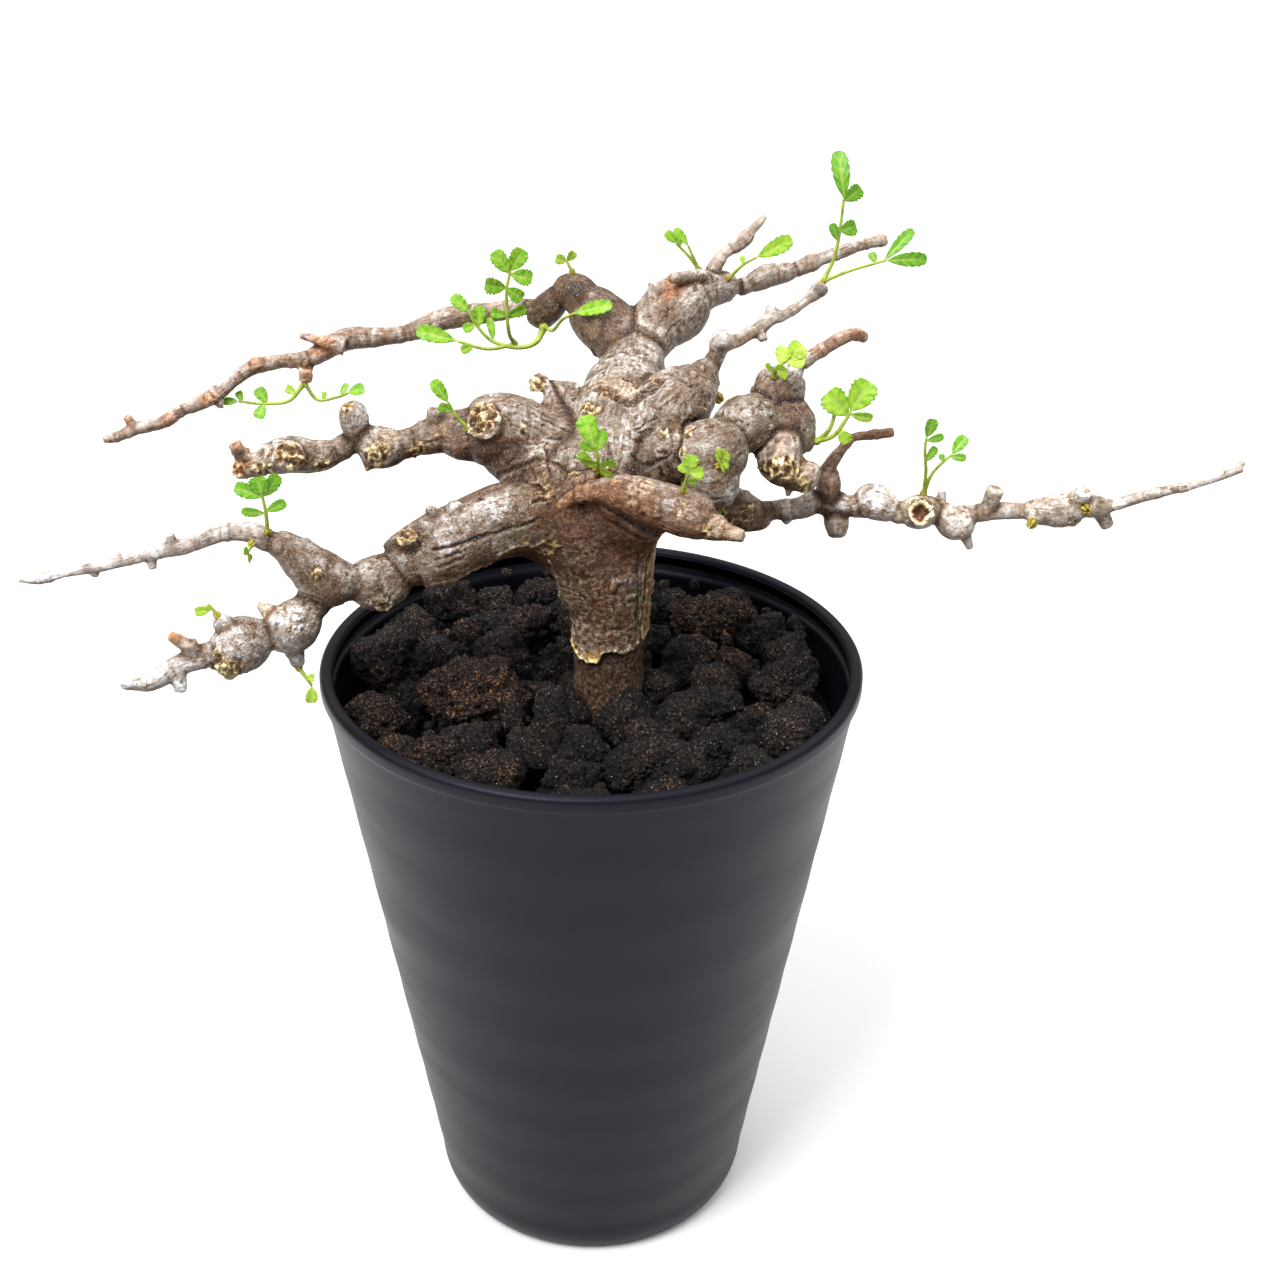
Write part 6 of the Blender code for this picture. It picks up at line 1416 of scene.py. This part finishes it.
def growShoot(name, seed, woodTree, materials):
    # its leaves start near the first stalk's first point; they are seated on the finished bark there, with a
    # small scaly bud round the foot
    roughFoot = shootLeaves[name][0][0][0]
    foot, out, *_ = woodTree.find_nearest(Vector(roughFoot) * mm)
    foot, out = np.array(foot) / mm, np.array(out)
    tone, stalkScale = shootTone.get(name, (0.0, 1.0))
    parts = []
    for i, (line, facing, leaflets) in enumerate(shootLeaves[name]):
        shifted = np.array(line) + foot + leaf["rise"] * out - np.array(roughFoot)
        shifted[0] -= out * 0.9
        parts += compoundLeaf(shifted, facing, leaflets, seed * 11 + i, stalkScale, thickStalk.get(name) == i)
    parts += budParts(foot, out, leaf["budSize"] * (1.5 if name == "shoot_crown_front" else 1))
    joinLeaves(f"{name}_leaves", parts, foot, tone, materials, [name])


def joinLeaves(name, parts, foot, tone, materials, replaced):
    # one piece of parts that are each points, quads, end caps, vein and edge shares, and a material's number
    places, quads, caps, veins, edges, kinds = zip(*parts)
    points, *faces = joined(places, quads, caps)
    numbers = [np.full(len(part), kind) for group in (quads, caps) for part, kind in zip(group, kinds)]
    fresh = np.clip(0.5 + 0.5 * tone + 0.35 * smoothStep(9.0, 0.0, distance(points, foot)), 0, 1)
    makePiece(name, points, faces, materials, replaced,
              {"vein": np.concatenate(veins), "edge": np.concatenate(edges),
               "fresh": fresh}, np.concatenate(numbers))


leafColour = {
    "dark": "#4f9412", "mid": "#7cc01e", "fresh": "#bce344", "vein": "#cfe67c", "edge": "#4a8a18",
    "stalk": "#b9cf52", "stalkFoot": "#93a23c", "scale": "#c3b444", "scaleTip": "#9a7a30",
}


def youngLeafBlade():
    # a young leaf blade: soft, thin, slightly glossy, lit through by the light behind it
    made, add, place = startMaterial("youngLeafBlade")
    fresh, vein, edge = (add("Attribute", out="Fac", attribute_name=name)
                         for name in ("fresh", "vein", "edge"))
    mottle = add("TexNoise", {"Vector": place, "Scale": 800.0, "Detail": 3.0})  # 1.2 mm cell groups
    tone = add("Math", [mottle, 0.55, fresh], operation="MULTIPLY_ADD")
    colour = add("ValToRGB", [tone], stops=[(0.45, leafColour["dark"]), (0.80, leafColour["mid"]),
                                            (1.0, leafColour["fresh"])])
    for share, fill, strength in ((edge, "edge", 0.45), (vein, "vein", 0.60)):
        part = add("Math", [share, strength], operation="MULTIPLY")
        colour = add("Mix", {0: part, 6: colour, 7: leafColour[fill]}, out=2, data_type="RGBA")
    height = add("Math", [vein, -0.8, mottle], operation="MULTIPLY_ADD")
    bump = add("Bump", {"Height": height, "Strength": 0.5, "Distance": 0.00012})
    return finishMaterial(made, {
        "Base Color": colour, "Normal": bump, "Roughness": 0.42, "IOR": 1.42, "Subsurface Weight": 0.35,
        "Subsurface Radius": (0.5, 1.0, 0.15), "Subsurface Scale": 0.0006})


def leafStalk():
    # the stalks: watery yellow-green, smooth, streaked with a darker green
    made, add, place = startMaterial("leafStalk")
    streak = add("TexNoise", {"Vector": place, "Scale": 500.0, "Detail": 3.0})  # 2 mm
    colour = add("ValToRGB", [streak], stops=[(0.35, leafColour["stalkFoot"]), (0.55, leafColour["stalk"])])
    bump = add("Bump", {"Height": streak, "Strength": 0.3, "Distance": 0.0001})
    return finishMaterial(made, {
        "Base Color": colour, "Normal": bump, "Roughness": 0.40, "Subsurface Weight": 0.3,
        "Subsurface Radius": (0.5, 1.0, 0.15), "Subsurface Scale": 0.0005})


def budScale():
    # the bud scales: dry, ochre-yellow, browned at random
    made, add, place = startMaterial("budScale")
    patch = add("TexNoise", {"Vector": place, "Scale": 900.0, "Detail": 3.0})  # 1.1 mm
    colour = add("ValToRGB", [patch], stops=[(0.40, leafColour["scaleTip"]), (0.58, leafColour["scale"])])
    bump = add("Bump", {"Height": patch, "Strength": 0.4, "Distance": 0.0001})
    return finishMaterial(made, {"Base Color": colour, "Normal": bump, "Roughness": 0.6})


# The stage: a white floor under a broad soft ceiling light, with a small, brighter key light to the front
# left
stage = {
    "floor": "#fafafa", "floorSize": 8.0, "sky": "#ffffff", "skyStrength": (0.06, 0.34),
    # place, what it looks at, size in metres, radiance
    "lights": [((0.0, 0.6, 2.6), (0.0, 0.6, 0.0), 6.0, 1.40),
               ((-0.6, -0.7, 1.4), (0.0, 0.0, 0.15), 0.7, 13.0)],
}
camera = {"place": (0.0, -0.30880, 0.29075), "down": 28.08, "pixels": (1798.3, -47.8, 13.8), "lens": 50.58,
          "sensor": 36.0}


def buildStage():
    half = stage["floorSize"] / 2
    mesh = bpy.data.meshes.new("floor")
    mesh.from_pydata([(-half, -half, 0), (half, -half, 0), (half, half, 0), (-half, half, 0)], [],
                     [(0, 1, 2, 3)])
    made, *_ = startMaterial("floorPaint")
    mesh.materials.append(finishMaterial(made, {"Base Color": stage["floor"], "Roughness": 0.9}))
    floor = addObject("floor", mesh)
    floor.visible_diffuse = False  # so that the plant's undersides stay shaded, as over dark gravel
    world = bpy.data.worlds.new("sky")
    world.use_nodes = True
    # dim below the horizon, so that undersides fall dark, and bright above it
    tree = world.node_tree
    way = addNode(tree, "TexCoord", out="Generated")
    height = addNode(tree, "SeparateXYZ", [way], out=2)
    low, high = stage["skyStrength"]
    glow = addNode(tree, "MapRange", [height, -0.35, 0.10, low, high])
    setInputs(tree, tree.nodes["Background"], {"Color": stage["sky"], "Strength": glow})
    bpy.context.scene.world = world
    for i, (place, target, size, radiance) in enumerate(stage["lights"]):
        light = bpy.data.lights.new(f"softLight{i}", "AREA")
        light.size, light.energy = size, radiance * math.pi * size**2
        lamp = addObject(light.name, light)
        lamp.location = place
        lamp.rotation_euler = (Vector(target) - Vector(place)).to_track_quat("-Z", "Y").to_euler()


def buildCamera():
    # it looks at the middle of the pot's rim, turned a little so that the rim falls where the photograph has
    # it
    down = math.radians(camera["down"])
    ahead, right = np.array([0, math.cos(down), -math.sin(down)]), np.array([1.0, 0, 0])
    up = np.cross(right, ahead)
    focal, x, y = camera["pixels"]
    yaw, pitch = math.atan2(x, focal), math.atan2(y, math.hypot(focal, x))
    side = right * math.cos(yaw) + ahead * math.sin(yaw)
    turned = ahead * math.cos(yaw) - right * math.sin(yaw)
    upward = up * math.cos(pitch) - turned * math.sin(pitch)
    forward = up * math.sin(pitch) + turned * math.cos(pitch)
    data = bpy.data.cameras.new("camera")
    data.lens, data.sensor_width, data.sensor_fit = camera["lens"], camera["sensor"], "HORIZONTAL"
    data.clip_start, data.clip_end = 0.01, 50
    made = addObject("camera", data)
    turn = Matrix([(*row,) for row in np.column_stack([side, upward, -forward])]).to_4x4()
    made.matrix_world = Matrix.Translation(camera["place"]) @ turn
    bpy.context.scene.camera = made


bpy.context.scene.view_settings.view_transform = "Standard"
buildStage()
buildCamera()
buildPot()
report("pot built")
scoria = blackScoria()
buildGravel(scoria)
buildLooseStones(scoria)
report("stones built")
woodPoints, woodQuads = buildWood(greyBark())
woodTree = BVHTree.FromPolygons((woodPoints * mm).tolist(), woodQuads.tolist())
leafMaterials = [youngLeafBlade(), leafStalk(), budScale()]
for seed, name in enumerate(shootLeaves):
    growShoot(name, seed + 1, woodTree, leafMaterials)
growBuds(woodTree, leafMaterials)
report("shoots grown")
